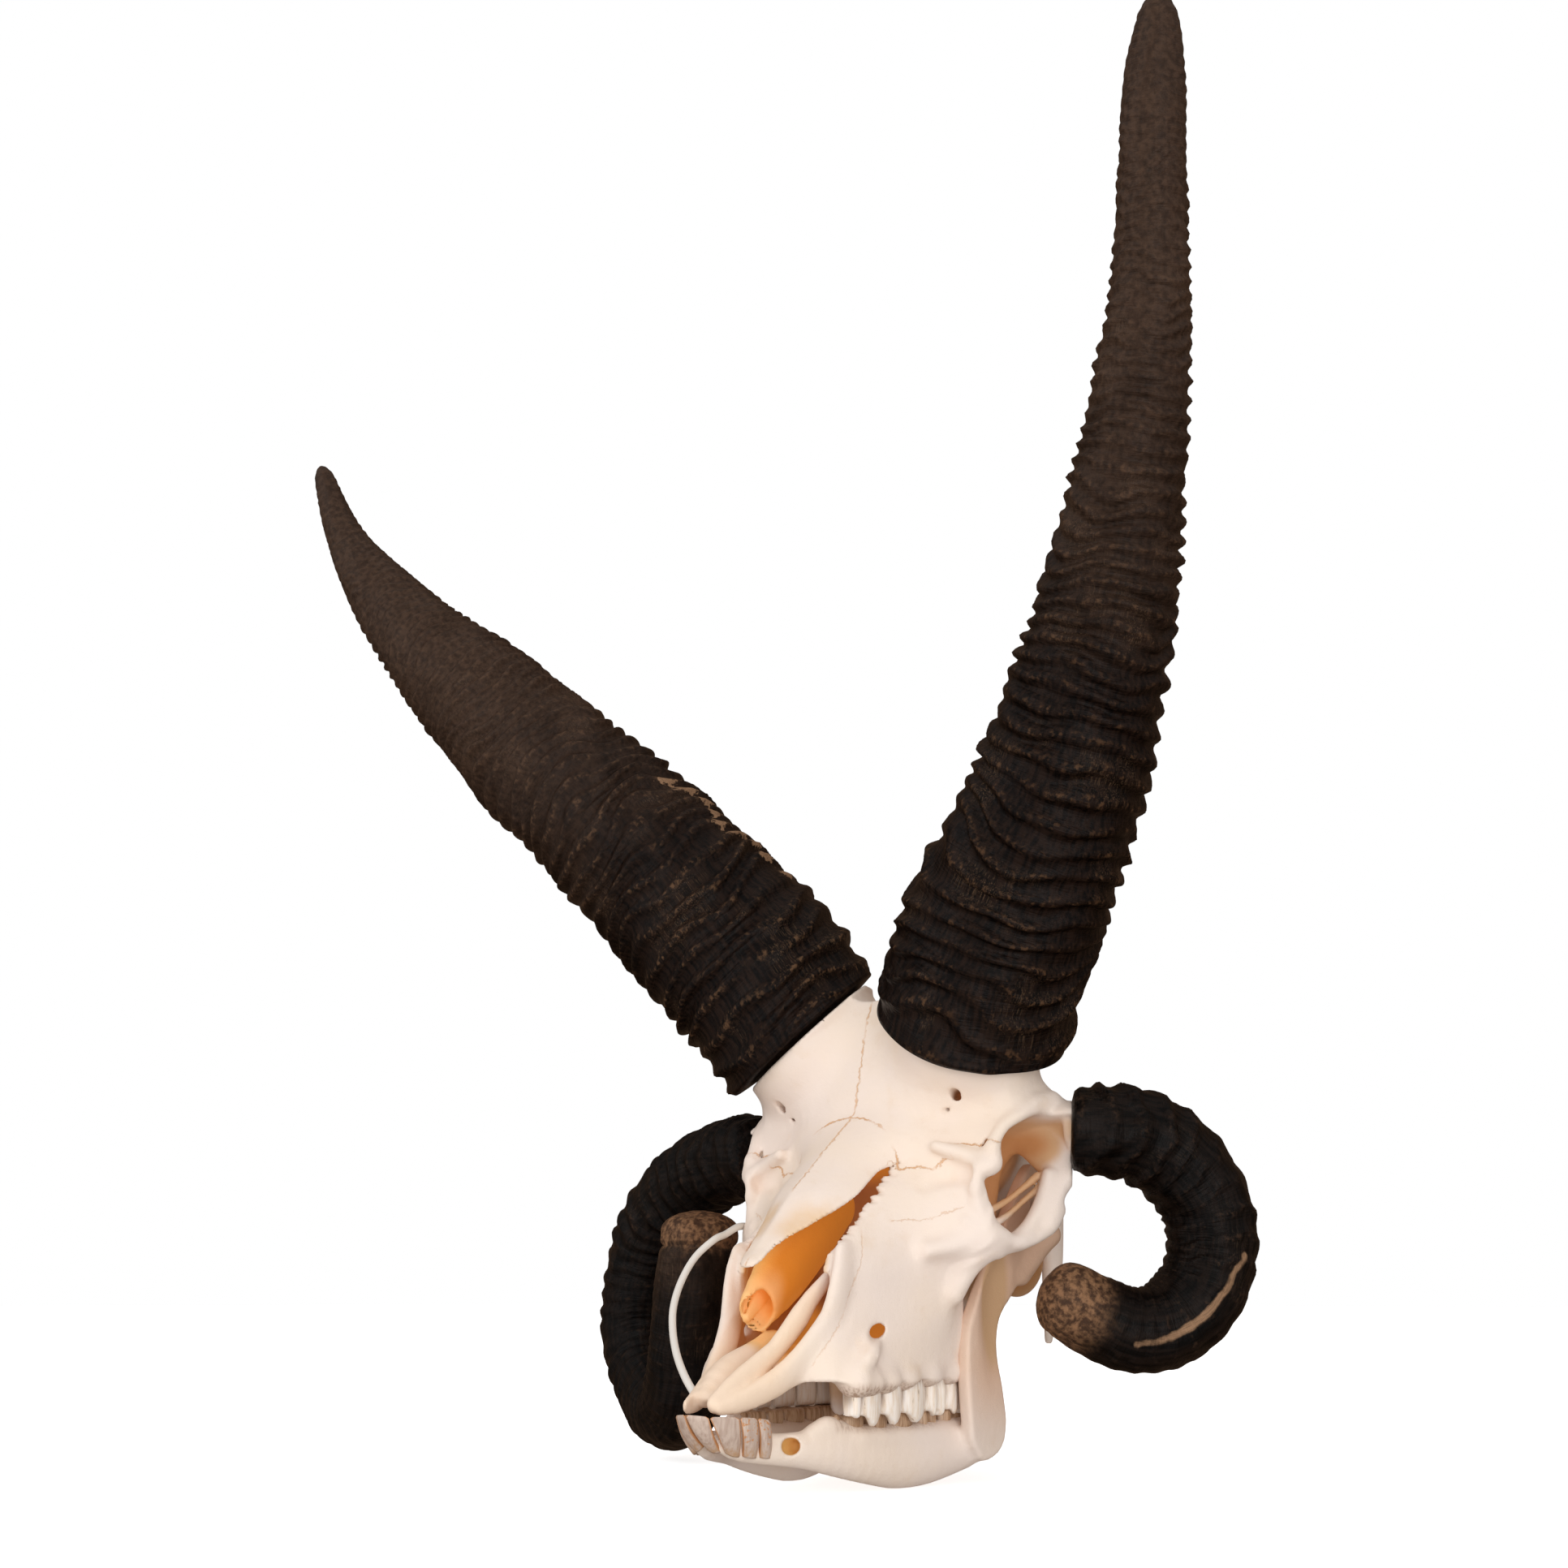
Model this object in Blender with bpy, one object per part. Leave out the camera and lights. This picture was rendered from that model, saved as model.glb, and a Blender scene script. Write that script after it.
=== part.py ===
"""Four-horned sheep skull, resting on its lower jaw.

The skull faces -Y, the animal's left is +X and +Z is up. Places are written in millimetres
in the skull's own frame, where the bridge of the nose (nasion) is at Y = 0 and the table is
Z = 0. ORIGIN moves them to the part's frame, and MM turns them into metres.
"""
import math

import bmesh
import bpy
from mathutils import Matrix, Vector

MM = 0.001
ORIGIN = Vector((52.1, -13.1, 0.0))
GAP = 0.3
BONE_VOXEL = 1.6
CRANIUM_TRIANGLES = 2700
HOLE_DEPTH = 26

# Colour, roughness and metallic value of each material.
BONE = ("bone", (0.80, 0.70, 0.60), 0.55, 0.0)
HORN = ("horn", (0.035, 0.022, 0.016), 0.6, 0.0)
ENAMEL = ("enamel", (0.78, 0.72, 0.62), 0.3, 0.0)
WIRE = ("coated_wire", (0.85, 0.82, 0.76), 0.4, 0.0)

# Outline of one half of the face at each height, from the midline in front, round the cheek
# and the rim of the eye socket, to the midline behind: (X, Y) pairs.
FACE_LEVELS = {
    38: ((0, -60), (10, -59), (22, -56), (32, -49), (36, -30), (37, 0), (34.5, 15), (29, 27), (0, 30)),
    52: ((0, -57), (9, -57), (17, -55), (27, -46), (32, -30), (37, -8), (38, 10), (32, 24), (0, 34)),
    66: ((0, -44), (10, -44), (21, -43), (28, -34), (34, -18), (40, 0), (42, 9), (31, 28), (0, 40)),
    76: ((0, -65), (3.5, -64), (22, -42), (29, -32), (36, -14), (44, 1), (49, 9), (33, 31), (0, 46)),
    84: ((0, -58), (7, -55), (24, -38), (30, -26), (38, -9), (50, 3), (58, 12), (34, 35), (0, 52)),
    94: ((0, -48), (10, -41), (21, -30), (28, -20), (40, -5), (53, 3), (57, 10), (34, 42), (0, 56)),
    104: ((0, -38), (11, -32), (22, -18), (30, -9), (42, 0), (53, 6), (57, 11), (34, 46), (0, 58)),
    113: ((0, -27), (12, -20), (23, -5), (31, 0), (43, 6), (54, 9), (58, 14), (36, 50), (0, 60)),
    124: ((0, -13), (12, -8), (25, 0), (35, 6), (46, 10), (57, 12), (61, 18), (42, 52), (0, 62)),
    134: ((0, 0), (12, 1), (26, 5), (38, 12), (50, 15), (60, 18), (65, 30), (48, 56), (0, 64)),
    146: ((0, 4), (13, 5), (28, 8), (41, 13), (54, 17), (62, 23), (65, 38), (50, 58), (0, 70)),
    158: ((0, 7), (14, 8), (28, 11), (40, 15), (50, 20), (57, 28), (57, 42), (44, 60), (0, 72)),
    170: ((0, 10), (10, 10), (18, 13), (24, 18), (28, 26), (30, 36), (28, 46), (22, 56), (0, 66)),
    180: ((0, 14), (8, 14), (12, 17), (15, 22), (17, 28), (18, 36), (16, 44), (12, 52), (0, 58)),
}

# Ellipses of the braincase: distance back, height of the centre, half width, half height.
BRAINCASE = (
    (38, 132, 34, 42),
    (60, 128, 37, 44),
    (78, 122, 38, 36),
    (94, 118, 37, 29),
    (107, 115, 30, 24),
    (114, 114, 20, 16),
)

# The nose opening seen from the side, (Y, Z): nasal bones above, upper jaw below and behind.
NOSE_OPENING = (
    (-2, 113), (-17, 104.5), (-30, 95), (-44, 86), (-56, 79), (-67, 74), (-100, 74),
    (-100, 34), (-76, 34), (-68, 41), (-56, 53), (-43, 66), (-38, 84), (-21, 99), (-5, 110),
)

# The hollow behind it: (Z, half width, front Y, back Y).
NOSE_HOLLOW = (
    (43, 13, -80, -12),
    (56, 16, -80, -2),
    (72, 19, -64, 8),
    (85, 18, -41, 10),
    (97, 16, -27, 10),
    (108, 12, -12, 8),
)

EYE_SOCKET_CENTRE = Vector((64, 27, 109.5))
EYE_SOCKET_RADII = (36, 21.5, 23)
PALATE_CENTRE = Vector((0, -12, 33))
PALATE_RADII = (24, 54, 12)

# Bars of bone: middle line, then a (half width, half height) pair at each of its points.
CHEEK_ARCH = (
    ((55, 10, 86), (61, 22, 85), (62.5, 36, 88), (60, 52, 93), (52, 70, 98), (38, 86, 101)),
    ((6, 8), (5, 7), (4, 6), (3.5, 5.5), (4, 5.5), (6, 7)),
)
SOCKET_REAR_BAR = (
    ((63, 36, 90), (65.5, 42, 102), (66.5, 44.5, 116), (64.5, 43, 128), (58, 39, 138)),
    ((4, 6), (3.5, 5), (3.5, 5), (4, 6), (6, 9)),
)
SOCKET_FRONT_RIM = (
    ((58, 14, 86), (54, 5, 97), (53.5, 3.5, 110), (56, 7, 124), (61, 18, 134), (64, 32, 137), (65, 43, 132)),
    ((4, 4), (3, 3), (2.8, 2.8), (3, 3), (3.5, 3), (4, 3), (4, 4)),
)
FRONT_JAW_BAR = (
    ((25, -34, 88), (25, -40, 74), (20, -49, 60), (15.5, -61, 48), (10.5, -74, 38.5), (6.5, -88, 32.6),
     (4.5, -97, 30.6)),
    ((2.5, 5), (2.5, 6), (3, 7), (3.2, 7), (3.5, 6), (4, 4), (3.2, 2.2)),
)
PALATE_BAR = (
    ((8, -46, 42), (5, -62, 39), (3.6, -78, 34.5), (3.6, -90, 31.8)),
    ((6, 3), (3, 3), (2.6, 2.6), (2.6, 2.4)),
)
WING_BAR = (
    ((20, 18, 46), (17, 32, 52), (14, 46, 66), (13, 62, 84)),
    ((4, 9), (3, 8), (3, 9), (6, 8)),
)
NECK_PROCESS = (
    ((27, 100, 100), (28, 99, 82), (28, 97, 64), (27.5, 95, 49)),
    ((7, 7), (4, 6), (3, 4.5), (1.6, 2)),
)
NECK_CREST = (
    ((33, 100, 112), (28, 106, 130), (14, 109, 141), (0, 110, 144)),
    ((3, 4), (3, 4), (3.5, 4.5), (4, 5)),
)
LOWER_HORN_CORE = (
    ((50, 38, 134), (62, 40, 130), (70.5, 41, 128.5), (77.0, 42.3, 127.9)),
    ((12, 10), (10.5, 10), (10.5, 10.5), (11, 11.5)),
)
EAR_LUMP_CENTRE = Vector((23, 82, 88))
EAR_LUMP_RADII = (9, 12, 11)
NECK_JOINT_CENTRE = Vector((14, 113, 99))
NECK_JOINT_RADII = (9, 11, 12)
NECK_HOLE_CENTRE = Vector((0, 120, 106))
NECK_HOLE_RADII = (9, 18, 9)
BROW_HOLE = (Vector((40, 15, 138)), Vector((0.2, -1.0, 0.0)), 3.2)
CHEEK_HOLE = (Vector((32, -30, 53.5)), Vector((1.0, -0.8, 0.0)), 3.6)

# Upper horns. The base ring lies in a plane through BASE with this normal.
UPPER_BASE_NORMAL = Vector((0.51, -0.43, 0.745)).normalized()
UPPER_WIDTH_AXIS = Vector((0.79, 0.62, 0.0))
HORN_UPPER_LEFT = (
    (40, 24, 168), (55.5, 18, 199), (76, 12, 228), (95, 5.5, 256), (110, -1, 285), (123.5, -7, 314),
    (134.5, -13, 344), (144.5, -19, 374), (153.5, -25, 404), (160.5, -31.5, 435), (166, -38, 466),
    (172, -44, 498), (178, -50, 523),
)
HORN_UPPER_LEFT_RADII = (37, 37.5, 34.5, 31.5, 28.5, 25.2, 21.8, 18.6, 16, 13.2, 12.2, 10.6, 3)
HORN_UPPER_RIGHT = (
    (-41, 24, 170), (-61, 17, 198), (-84, 9, 223), (-108, 2, 249), (-133.5, -5.5, 275), (-162, -13, 301),
    (-190.5, -20, 330), (-220.5, -28, 359), (-249, -35, 391), (-272, -42.5, 426), (-283.5, -50, 462),
)
HORN_UPPER_RIGHT_RADII = (37.5, 39, 37.5, 36, 34.2, 32, 28.5, 22.8, 16, 9, 2)
UPPER_DEPTH_SHARE = 0.92
UPPER_RIDGE_PITCH = 13.5
UPPER_RIDGE_HEIGHT = 1.3
UPPER_SIDES = 11

# Lower horns, curled at the sides of the head.
LOWER_LEFT_LOOP_AXIS = Vector((0.78, -0.62, 0.0))
HORN_LOWER_LEFT = (
    (75.2, 39.1, 128.0), (90, 57, 126.5), (100, 70, 117.5), (107, 79, 102), (108, 80.5, 84), (104, 76, 67),
    (96, 66, 57), (86.5, 54, 54), (77, 42, 59.5), (71.5, 34, 67),
)
HORN_LOWER_LEFT_RADII = (16.5, 17.5, 17.8, 17.5, 17.2, 16.8, 16.4, 15.6, 14.6, 12.5)
LOWER_RIGHT_LOOP_AXIS = Vector((-0.35, -0.94, 0.0))
HORN_LOWER_RIGHT = (
    (-73.7, 41.1, 124), (-98, 49, 124), (-124, 57, 118.5), (-152, 65, 103.5), (-167.5, 69.5, 80),
    (-168, 67, 53), (-154, 59, 32), (-131, 45, 21), (-108, 28, 27), (-96, 18, 52), (-89, 14, 79),
    (-88, 13, 101),
)
HORN_LOWER_RIGHT_RADII = (16.5, 17.3, 17.8, 18, 17.8, 17.4, 17, 16.8, 17, 17.5, 17.5, 15.5)
LOWER_TIP_DEPTH_SHARE = 0.72
LOWER_RIDGE_PITCH = 11.0
LOWER_RIDGE_HEIGHT = 0.9
LOWER_SIDES = 9

# Lower jaw. Sections of the body: Y, middle X, half thickness, low Z, high Z.
JAW_SECTIONS = (
    (-87, 3.4, 3.0, 18.4, 21.4), (-82, 4.8, 4.4, 15.0, 21.6), (-76, 6.6, 6.2, 12.6, 21.5),
    (-69, 9.2, 7.2, 11.4, 21.2), (-62, 13, 5.8, 10.5, 20.8), (-52, 17, 5.5, 8.5, 20.8),
    (-40, 20, 6.6, 5, 20.8), (-25, 22.5, 7.4, 1.4, 20.8), (-10, 24.2, 7.8, -0.8, 20.8),
    (5, 26.2, 7.8, -1.0, 20.8), (15, 28, 7.2, 0.8, 20.8), (23.5, 30.2, 6.2, 2.8, 20.8),
    (27, 31.8, 5.4, 3.6, 26), (36, 35, 4.2, 2.0, 30),
)
# Sections of the upright branch: Z, front Y, rear Y, middle X, half thickness.
BRANCH_SECTIONS = (
    (-1, 34, 45, 36, 2.6), (5, 26, 47, 37, 3.2), (22, 17, 46.5, 38.6, 3.0), (40, 15, 43, 38.8, 2.8),
    (55, 16, 42, 39.2, 2.8), (68, 22, 46, 40.2, 2.8), (80, 30, 56, 41.5, 2.6),
)
JAW_HOOK = (
    ((41.5, 38, 74), (42.5, 44, 92), (43.5, 50, 105), (44, 56, 114)),
    ((2.6, 7), (2.4, 6), (2.2, 4.5), (1.4, 2)),
)
JAW_NECK = (
    ((41.5, 48, 72), (43, 56, 80), (45, 63, 87), (46, 66, 90)),
    ((2.6, 6), (3.5, 5.5), (6, 5), (9, 3.5)),
)

# Cheek teeth in a row: Y of the joints between them, from front to back.
TOOTH_JOINTS = (-46.5, -39.5, -31, -21.5, -7.5, 7.5, 23)
UPPER_TOOTH_X = (29.0, 29.8)
LOWER_TOOTH_X = (20.2, 27.2)
UPPER_TOOTH_Z = (37.7, 27.0)
LOWER_TOOTH_Z = (21.1, 25.2)
UPPER_TOOTH_HALF = (2.8, 3.6, 4.2, 4.6, 4.6, 4.2)
LOWER_TOOTH_HALF = (2.0, 2.8, 3.4, 3.8, 3.8, 3.6)
CUSP_DROP = 2.6

# Front teeth on one side: root and tip of each blade, its half width, and how far the blade is
# turned round from facing straight ahead, in degrees.
FRONT_TEETH = (
    ((3.4, -84.5, 16.8), (4.0, -95.6, 27.2), 3.3, 20),
    ((7.6, -81.0, 14.6), (9.8, -88.6, 27.0), 3.3, 52),
    ((10.2, -75.4, 14.2), (13.0, -80.6, 26.6), 3.2, 68),
    ((12.2, -69.2, 14.0), (14.6, -73.4, 25.8), 3.0, 74),
)
FRONT_TOOTH_THICKNESS = 1.5
SOCKET_ROOM = 0.45

WIRE_POINTS = (
    (-61.0, 10.5, 94.2), (-58.2, 1.5, 93.4), (-56.6, -8.0, 90.3), (-55.0, -16.5, 88.1),
    (-57.0, -25.2, 81.5), (-55.5, -34.8, 72.7), (-51.0, -44.4, 63.5), (-44.5, -52.3, 55.4),
    (-35.0, -61.0, 47.0), (-24.0, -69.0, 39.4), (-13.5, -75.0, 33.0),
)
WIRE_RADIUS = 1.5
WIRE_STEPS = 20


def to_metres(point):
    """A place in the skull's own millimetres, in the part's frame in metres."""
    return (Vector(point) + ORIGIN) * MM


def material(kind):
    """The Principled BSDF material of one kind of matter, made once."""
    name, colour, roughness, metallic = kind
    found = bpy.data.materials.get(name)
    if found:
        return found
    made = bpy.data.materials.new(name)
    made.use_nodes = True
    shader = made.node_tree.nodes["Principled BSDF"]
    shader.inputs["Base Color"].default_value = (*colour, 1.0)
    shader.inputs["Roughness"].default_value = roughness
    shader.inputs["Metallic"].default_value = metallic
    made.diffuse_color = (*colour, 1.0)
    return made


def smooth_path(points, count):
    """Evenly spaced points on a Catmull-Rom curve through the given ones."""
    knots = [Vector(p) for p in points]
    knots = [knots[0] * 2 - knots[1]] + knots + [knots[-1] * 2 - knots[-2]]
    fine = []
    for a, b, c, d in zip(knots, knots[1:], knots[2:], knots[3:]):
        for step in range(16):
            t = step / 16
            fine.append(0.5 * (b * 2 + (c - a) * t + (a * 2 - b * 5 + c * 4 - d) * t**2
                               + (b * 3 - a - c * 3 + d) * t**3))
    fine.append(knots[-2])
    reached = [0.0]
    for a, b in zip(fine, fine[1:]):
        reached.append(reached[-1] + (b - a).length)
    path = []
    piece = 0
    for i in range(count):
        wanted = reached[-1] * i / (count - 1)
        while piece < len(fine) - 2 and reached[piece + 1] < wanted:
            piece += 1
        share = (wanted - reached[piece]) / (reached[piece + 1] - reached[piece])
        path.append(fine[piece].lerp(fine[piece + 1], min(max(share, 0.0), 1.0)))
    return path


def blended(values, share):
    """The value at a share of the way along a list, numbers or tuples of numbers."""
    place = share * (len(values) - 1)
    low = min(int(place), len(values) - 2)
    part = place - low
    first, second = values[low], values[low + 1]
    if isinstance(first, (int, float)):
        return first * (1 - part) + second * part
    return tuple(a * (1 - part) + b * part for a, b in zip(first, second))


def skin(rings):
    """A closed body with quads between successive rings of points and a flat cap at each end."""
    mesh = bmesh.new()
    loops = [[mesh.verts.new(point) for point in ring] for ring in rings]
    count = len(loops[0])
    for lower, upper in zip(loops, loops[1:]):
        for i in range(count):
            j = (i + 1) % count
            mesh.faces.new((lower[i], lower[j], upper[j], upper[i]))
    mesh.faces.new(reversed(loops[0]))
    mesh.faces.new(loops[-1])
    bmesh.ops.recalc_face_normals(mesh, faces=mesh.faces)
    return mesh


def ellipse(centre, across, along, sides):
    """A ring of points round a centre, from its two half axes as vectors."""
    return [centre + across * math.cos(math.tau * i / sides) + along * math.sin(math.tau * i / sides)
            for i in range(sides)]


def bar(shape, side, sides=8, rings=None):
    """A bent bar of bone from its middle line and its half sizes, on one side of the head."""
    points, halves = shape
    path = smooth_path([(p[0] * side, p[1], p[2]) for p in points], rings or len(points))
    loops = []
    for i, point in enumerate(path):
        ahead = path[min(i + 1, len(path) - 1)] - path[max(i - 1, 0)]
        ahead.normalize()
        across = Vector((1, 0, 0)) - ahead * ahead.x
        across.normalize()
        wide, high = blended(halves, i / (len(path) - 1))
        loops.append(ellipse(point, across * wide, ahead.cross(across) * high, sides))
    return skin(loops)


def lump(centre, radii, side=1, segments=12, rings=7):
    """An ellipsoid."""
    mesh = bmesh.new()
    bmesh.ops.create_uvsphere(mesh, u_segments=segments, v_segments=rings, radius=1.0)
    place = Matrix.Translation((centre.x * side, centre.y, centre.z))
    mesh.transform(place @ Matrix.Diagonal((*radii, 1.0)))
    return mesh


def drill(hole, side):
    """A short round cutter for a nerve hole."""
    centre, direction, radius = hole
    axis = Vector((direction.x * side, direction.y, direction.z)).normalized()
    mesh = bmesh.new()
    bmesh.ops.create_cone(mesh, cap_ends=True, segments=6, radius1=radius * 0.6, radius2=radius,
                          depth=HOLE_DEPTH)
    turn = axis.to_track_quat("Z", "Y").to_matrix().to_4x4()
    mesh.transform(Matrix.Translation((centre.x * side, centre.y, centre.z)) @ turn)
    return mesh


def to_object(name, mesh, kind):
    """An object in metres from a body in the skull's millimetres, smooth shaded."""
    bmesh.ops.triangulate(mesh, faces=mesh.faces)
    for vertex in mesh.verts:
        vertex.co = to_metres(vertex.co)
    data = bpy.data.meshes.new(name)
    mesh.to_mesh(data)
    mesh.free()
    data.shade_smooth()
    data.set_sharp_from_angle(angle=math.radians(50))
    data.materials.append(material(kind))
    thing = bpy.data.objects.new(name, data)
    bpy.context.scene.collection.objects.link(thing)
    return thing


def combine(thing, mesh, operation):
    """Join a body to an object or cut it away, with Blender's exact Boolean."""
    other = to_object("tool_body", mesh, BONE)
    modifier = thing.modifiers.new("combine", "BOOLEAN")
    modifier.operation = operation
    modifier.solver = "EXACT"
    modifier.object = other
    apply_modifiers(thing)
    bpy.data.objects.remove(other)


def apply_modifiers(thing):
    """Replace an object's mesh by what its modifiers make of it."""
    bpy.context.view_layer.update()
    graph = bpy.context.evaluated_depsgraph_get()
    result = bpy.data.meshes.new_from_object(thing.evaluated_get(graph))
    thing.modifiers.clear()
    thing.data = result


def keep_outer_shell(thing):
    """Fill sealed pockets inside a body: keep only its largest connected surface."""
    mesh = bmesh.new()
    mesh.from_mesh(thing.data)
    waiting = set(mesh.verts)
    shells = []
    while waiting:
        reached = [waiting.pop()]
        shell = list(reached)
        while reached:
            for edge in reached.pop().link_edges:
                for vertex in edge.verts:
                    if vertex in waiting:
                        waiting.remove(vertex)
                        reached.append(vertex)
                        shell.append(vertex)
        shells.append(shell)
    shells.sort(key=len)
    inner = [vertex for shell in shells[:-1] for vertex in shell]
    bmesh.ops.delete(mesh, geom=inner, context="VERTS")
    mesh.to_mesh(thing.data)
    mesh.free()


def fuse(thing, meshes, triangles=None):
    """Grow bodies together with an object into one smooth skin of bone."""
    whole = bmesh.new()
    whole.from_mesh(thing.data)
    for mesh in meshes:
        bmesh.ops.triangulate(mesh, faces=mesh.faces)
        for vertex in mesh.verts:
            vertex.co = to_metres(vertex.co)
        piece = bpy.data.meshes.new("piece")
        mesh.to_mesh(piece)
        mesh.free()
        whole.from_mesh(piece)
        bpy.data.meshes.remove(piece)
    whole.to_mesh(thing.data)
    whole.free()
    remesh = thing.modifiers.new("grow", "REMESH")
    remesh.mode = "VOXEL"
    remesh.voxel_size = BONE_VOXEL * MM
    smooth = thing.modifiers.new("smooth", "SMOOTH")
    smooth.factor = 0.5
    smooth.iterations = 2
    apply_modifiers(thing)
    keep_outer_shell(thing)
    if triangles:
        count = sum(len(face.vertices) - 2 for face in thing.data.polygons)
        decimate = thing.modifiers.new("thin", "DECIMATE")
        decimate.ratio = triangles / count
        decimate.use_collapse_triangulate = True
        apply_modifiers(thing)


def tidy(thing):
    """Merge the slivers that Booleans leave and shade the surface smooth."""
    mesh = bmesh.new()
    mesh.from_mesh(thing.data)
    bmesh.ops.remove_doubles(mesh, verts=mesh.verts, dist=0.00002)
    bmesh.ops.dissolve_degenerate(mesh, edges=mesh.edges, dist=0.00002)
    bmesh.ops.triangulate(mesh, faces=mesh.faces)
    mesh.to_mesh(thing.data)
    mesh.free()
    thing.data.shade_smooth()
    thing.data.set_sharp_from_angle(angle=math.radians(50))


def face_body():
    """The forehead, nose and upper jaw: mirrored outlines stacked from low to high."""
    rings = []
    for height, half in FACE_LEVELS.items():
        right = [Vector((x, y, height)) for x, y in half]
        left = [Vector((-x, y, height)) for x, y in half[-2:0:-1]]
        rings.append(right + left)
    return skin(rings)


def braincase_body():
    """The braincase: ellipses one behind the other."""
    rings = [ellipse(Vector((0, back, height)), Vector((wide, 0, 0)), Vector((0, 0, high)), 16)
             for back, height, wide, high in BRAINCASE]
    return skin(rings)


def nose_opening_cutter():
    """A prism through the snout with the side outline of the nose opening."""
    return skin([[Vector((x, y, z)) for y, z in NOSE_OPENING] for x in (-60, 60)])


def nose_hollow_cutter():
    """The hollow of the nose: blunt outlines stacked from low to high."""
    rings = []
    for height, half, front, back in NOSE_HOLLOW:
        rings.append([Vector((x, y, height)) for x, y in (
            (-half, front), (half, front), (half, back - 12), (half * 0.5, back),
            (-half * 0.5, back), (-half, back - 12))])
    return skin(rings)


def horn_rings(points, radii, base_normal, width_axis, depth_shares, pitch, ridge, sides):
    """Rings of a horn, a crest and a groove for each ridge, with the base ring in its own plane."""
    length = sum((Vector(b) - Vector(a)).length for a, b in zip(points, points[1:]))
    count = 2 * round(length / pitch) + 1
    path = smooth_path(points, count)
    rings = []
    for i, point in enumerate(path):
        share = i / (count - 1)
        ahead = (path[min(i + 1, count - 1)] - path[max(i - 1, 0)]).normalized()
        lean = max(0.0, 1 - share * 5)
        normal = (ahead * (1 - lean) + base_normal * lean).normalized()
        across = (width_axis - normal * width_axis.dot(normal)).normalized()
        along = normal.cross(across)
        size = blended(radii, share)
        wave = ridge * (1 if i % 2 else -1) * min(1.0, (1 - share) * 4)
        if i == 0:
            wave = 0.0
        depth = (size + wave) * blended(depth_shares, share)
        rings.append(ellipse(point, across * (size + wave), along * depth, sides))
    return rings


def foot_direction(points):
    """The way a horn sets out from its foot."""
    return (Vector(points[1]) - Vector(points[0])).normalized()


def horn_cutter(points, radii, base_normal, width_axis, depth_share, reach=70):
    """The room that a horn's foot takes out of the bone, GAP clear of it."""
    foot = Vector(points[0]) - base_normal * GAP
    ahead = foot_direction(points)
    across = (width_axis - base_normal * width_axis.dot(base_normal)).normalized()
    along = base_normal.cross(across)
    rings = []
    for lift in (0, reach):
        size = radii[0] + 3
        rings.append(ellipse(foot + ahead * lift, across * size, along * (size * depth_share), 16))
    return skin(rings)


def horn_pedestal(points, radii, base_normal, width_axis, depth_share):
    """The stub of bone under an upper horn, ending GAP below the horn's foot."""
    top = Vector(points[0]) - base_normal * GAP
    across = (width_axis - base_normal * width_axis.dot(base_normal)).normalized()
    along = base_normal.cross(across)
    inner = Vector((top.x * 0.7, top.y + 22, top.z - 38))
    rings = []
    for centre, size in ((inner, radii[0] - 14), (top, radii[0] - 2.5)):
        rings.append(ellipse(centre, across * size, along * (size * depth_share), 14))
    return skin(rings)


def build_cranium():
    """The upper skull, one piece of bone."""
    cranium = to_object("cranium", face_body(), BONE)
    combine(cranium, nose_opening_cutter(), "DIFFERENCE")
    combine(cranium, nose_hollow_cutter(), "DIFFERENCE")
    combine(cranium, lump(PALATE_CENTRE, PALATE_RADII), "DIFFERENCE")
    horns = []
    for side, horn, radii in ((1, HORN_UPPER_LEFT, HORN_UPPER_LEFT_RADII),
                              (-1, HORN_UPPER_RIGHT, HORN_UPPER_RIGHT_RADII)):
        normal = Vector((UPPER_BASE_NORMAL.x * side, UPPER_BASE_NORMAL.y, UPPER_BASE_NORMAL.z))
        horns.append((horn, radii, normal, UPPER_WIDTH_AXIS, UPPER_DEPTH_SHARE))
    fuse(cranium, [braincase_body()] + [horn_pedestal(*horn) for horn in horns])
    bodies = []
    for side in (1, -1):
        combine(cranium, lump(EYE_SOCKET_CENTRE, EYE_SOCKET_RADII, side, 20, 12), "DIFFERENCE")
        for shape in (CHEEK_ARCH, SOCKET_REAR_BAR, SOCKET_FRONT_RIM, FRONT_JAW_BAR, PALATE_BAR, WING_BAR,
                      NECK_PROCESS, NECK_CREST, LOWER_HORN_CORE):
            bodies.append(bar(shape, side, 12, 14))
        bodies.append(lump(EAR_LUMP_CENTRE, EAR_LUMP_RADII, side))
        bodies.append(lump(NECK_JOINT_CENTRE, NECK_JOINT_RADII, side))
    combine(cranium, lump(NECK_HOLE_CENTRE, NECK_HOLE_RADII, 1, 16, 8), "DIFFERENCE")
    fuse(cranium, bodies, CRANIUM_TRIANGLES)
    for horn in horns:
        combine(cranium, horn_cutter(*horn), "DIFFERENCE")
    for points, radii, loop_axis in ((HORN_LOWER_LEFT, HORN_LOWER_LEFT_RADII, LOWER_LEFT_LOOP_AXIS),
                                     (HORN_LOWER_RIGHT, HORN_LOWER_RIGHT_RADII, LOWER_RIGHT_LOOP_AXIS)):
        combine(cranium, horn_cutter(points, radii, foot_direction(points), loop_axis, 1.0, 16), "DIFFERENCE")
    for side in (1, -1):
        combine(cranium, drill(BROW_HOLE, side), "DIFFERENCE")
        combine(cranium, drill(CHEEK_HOLE, side), "DIFFERENCE")
    tidy(cranium)


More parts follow.
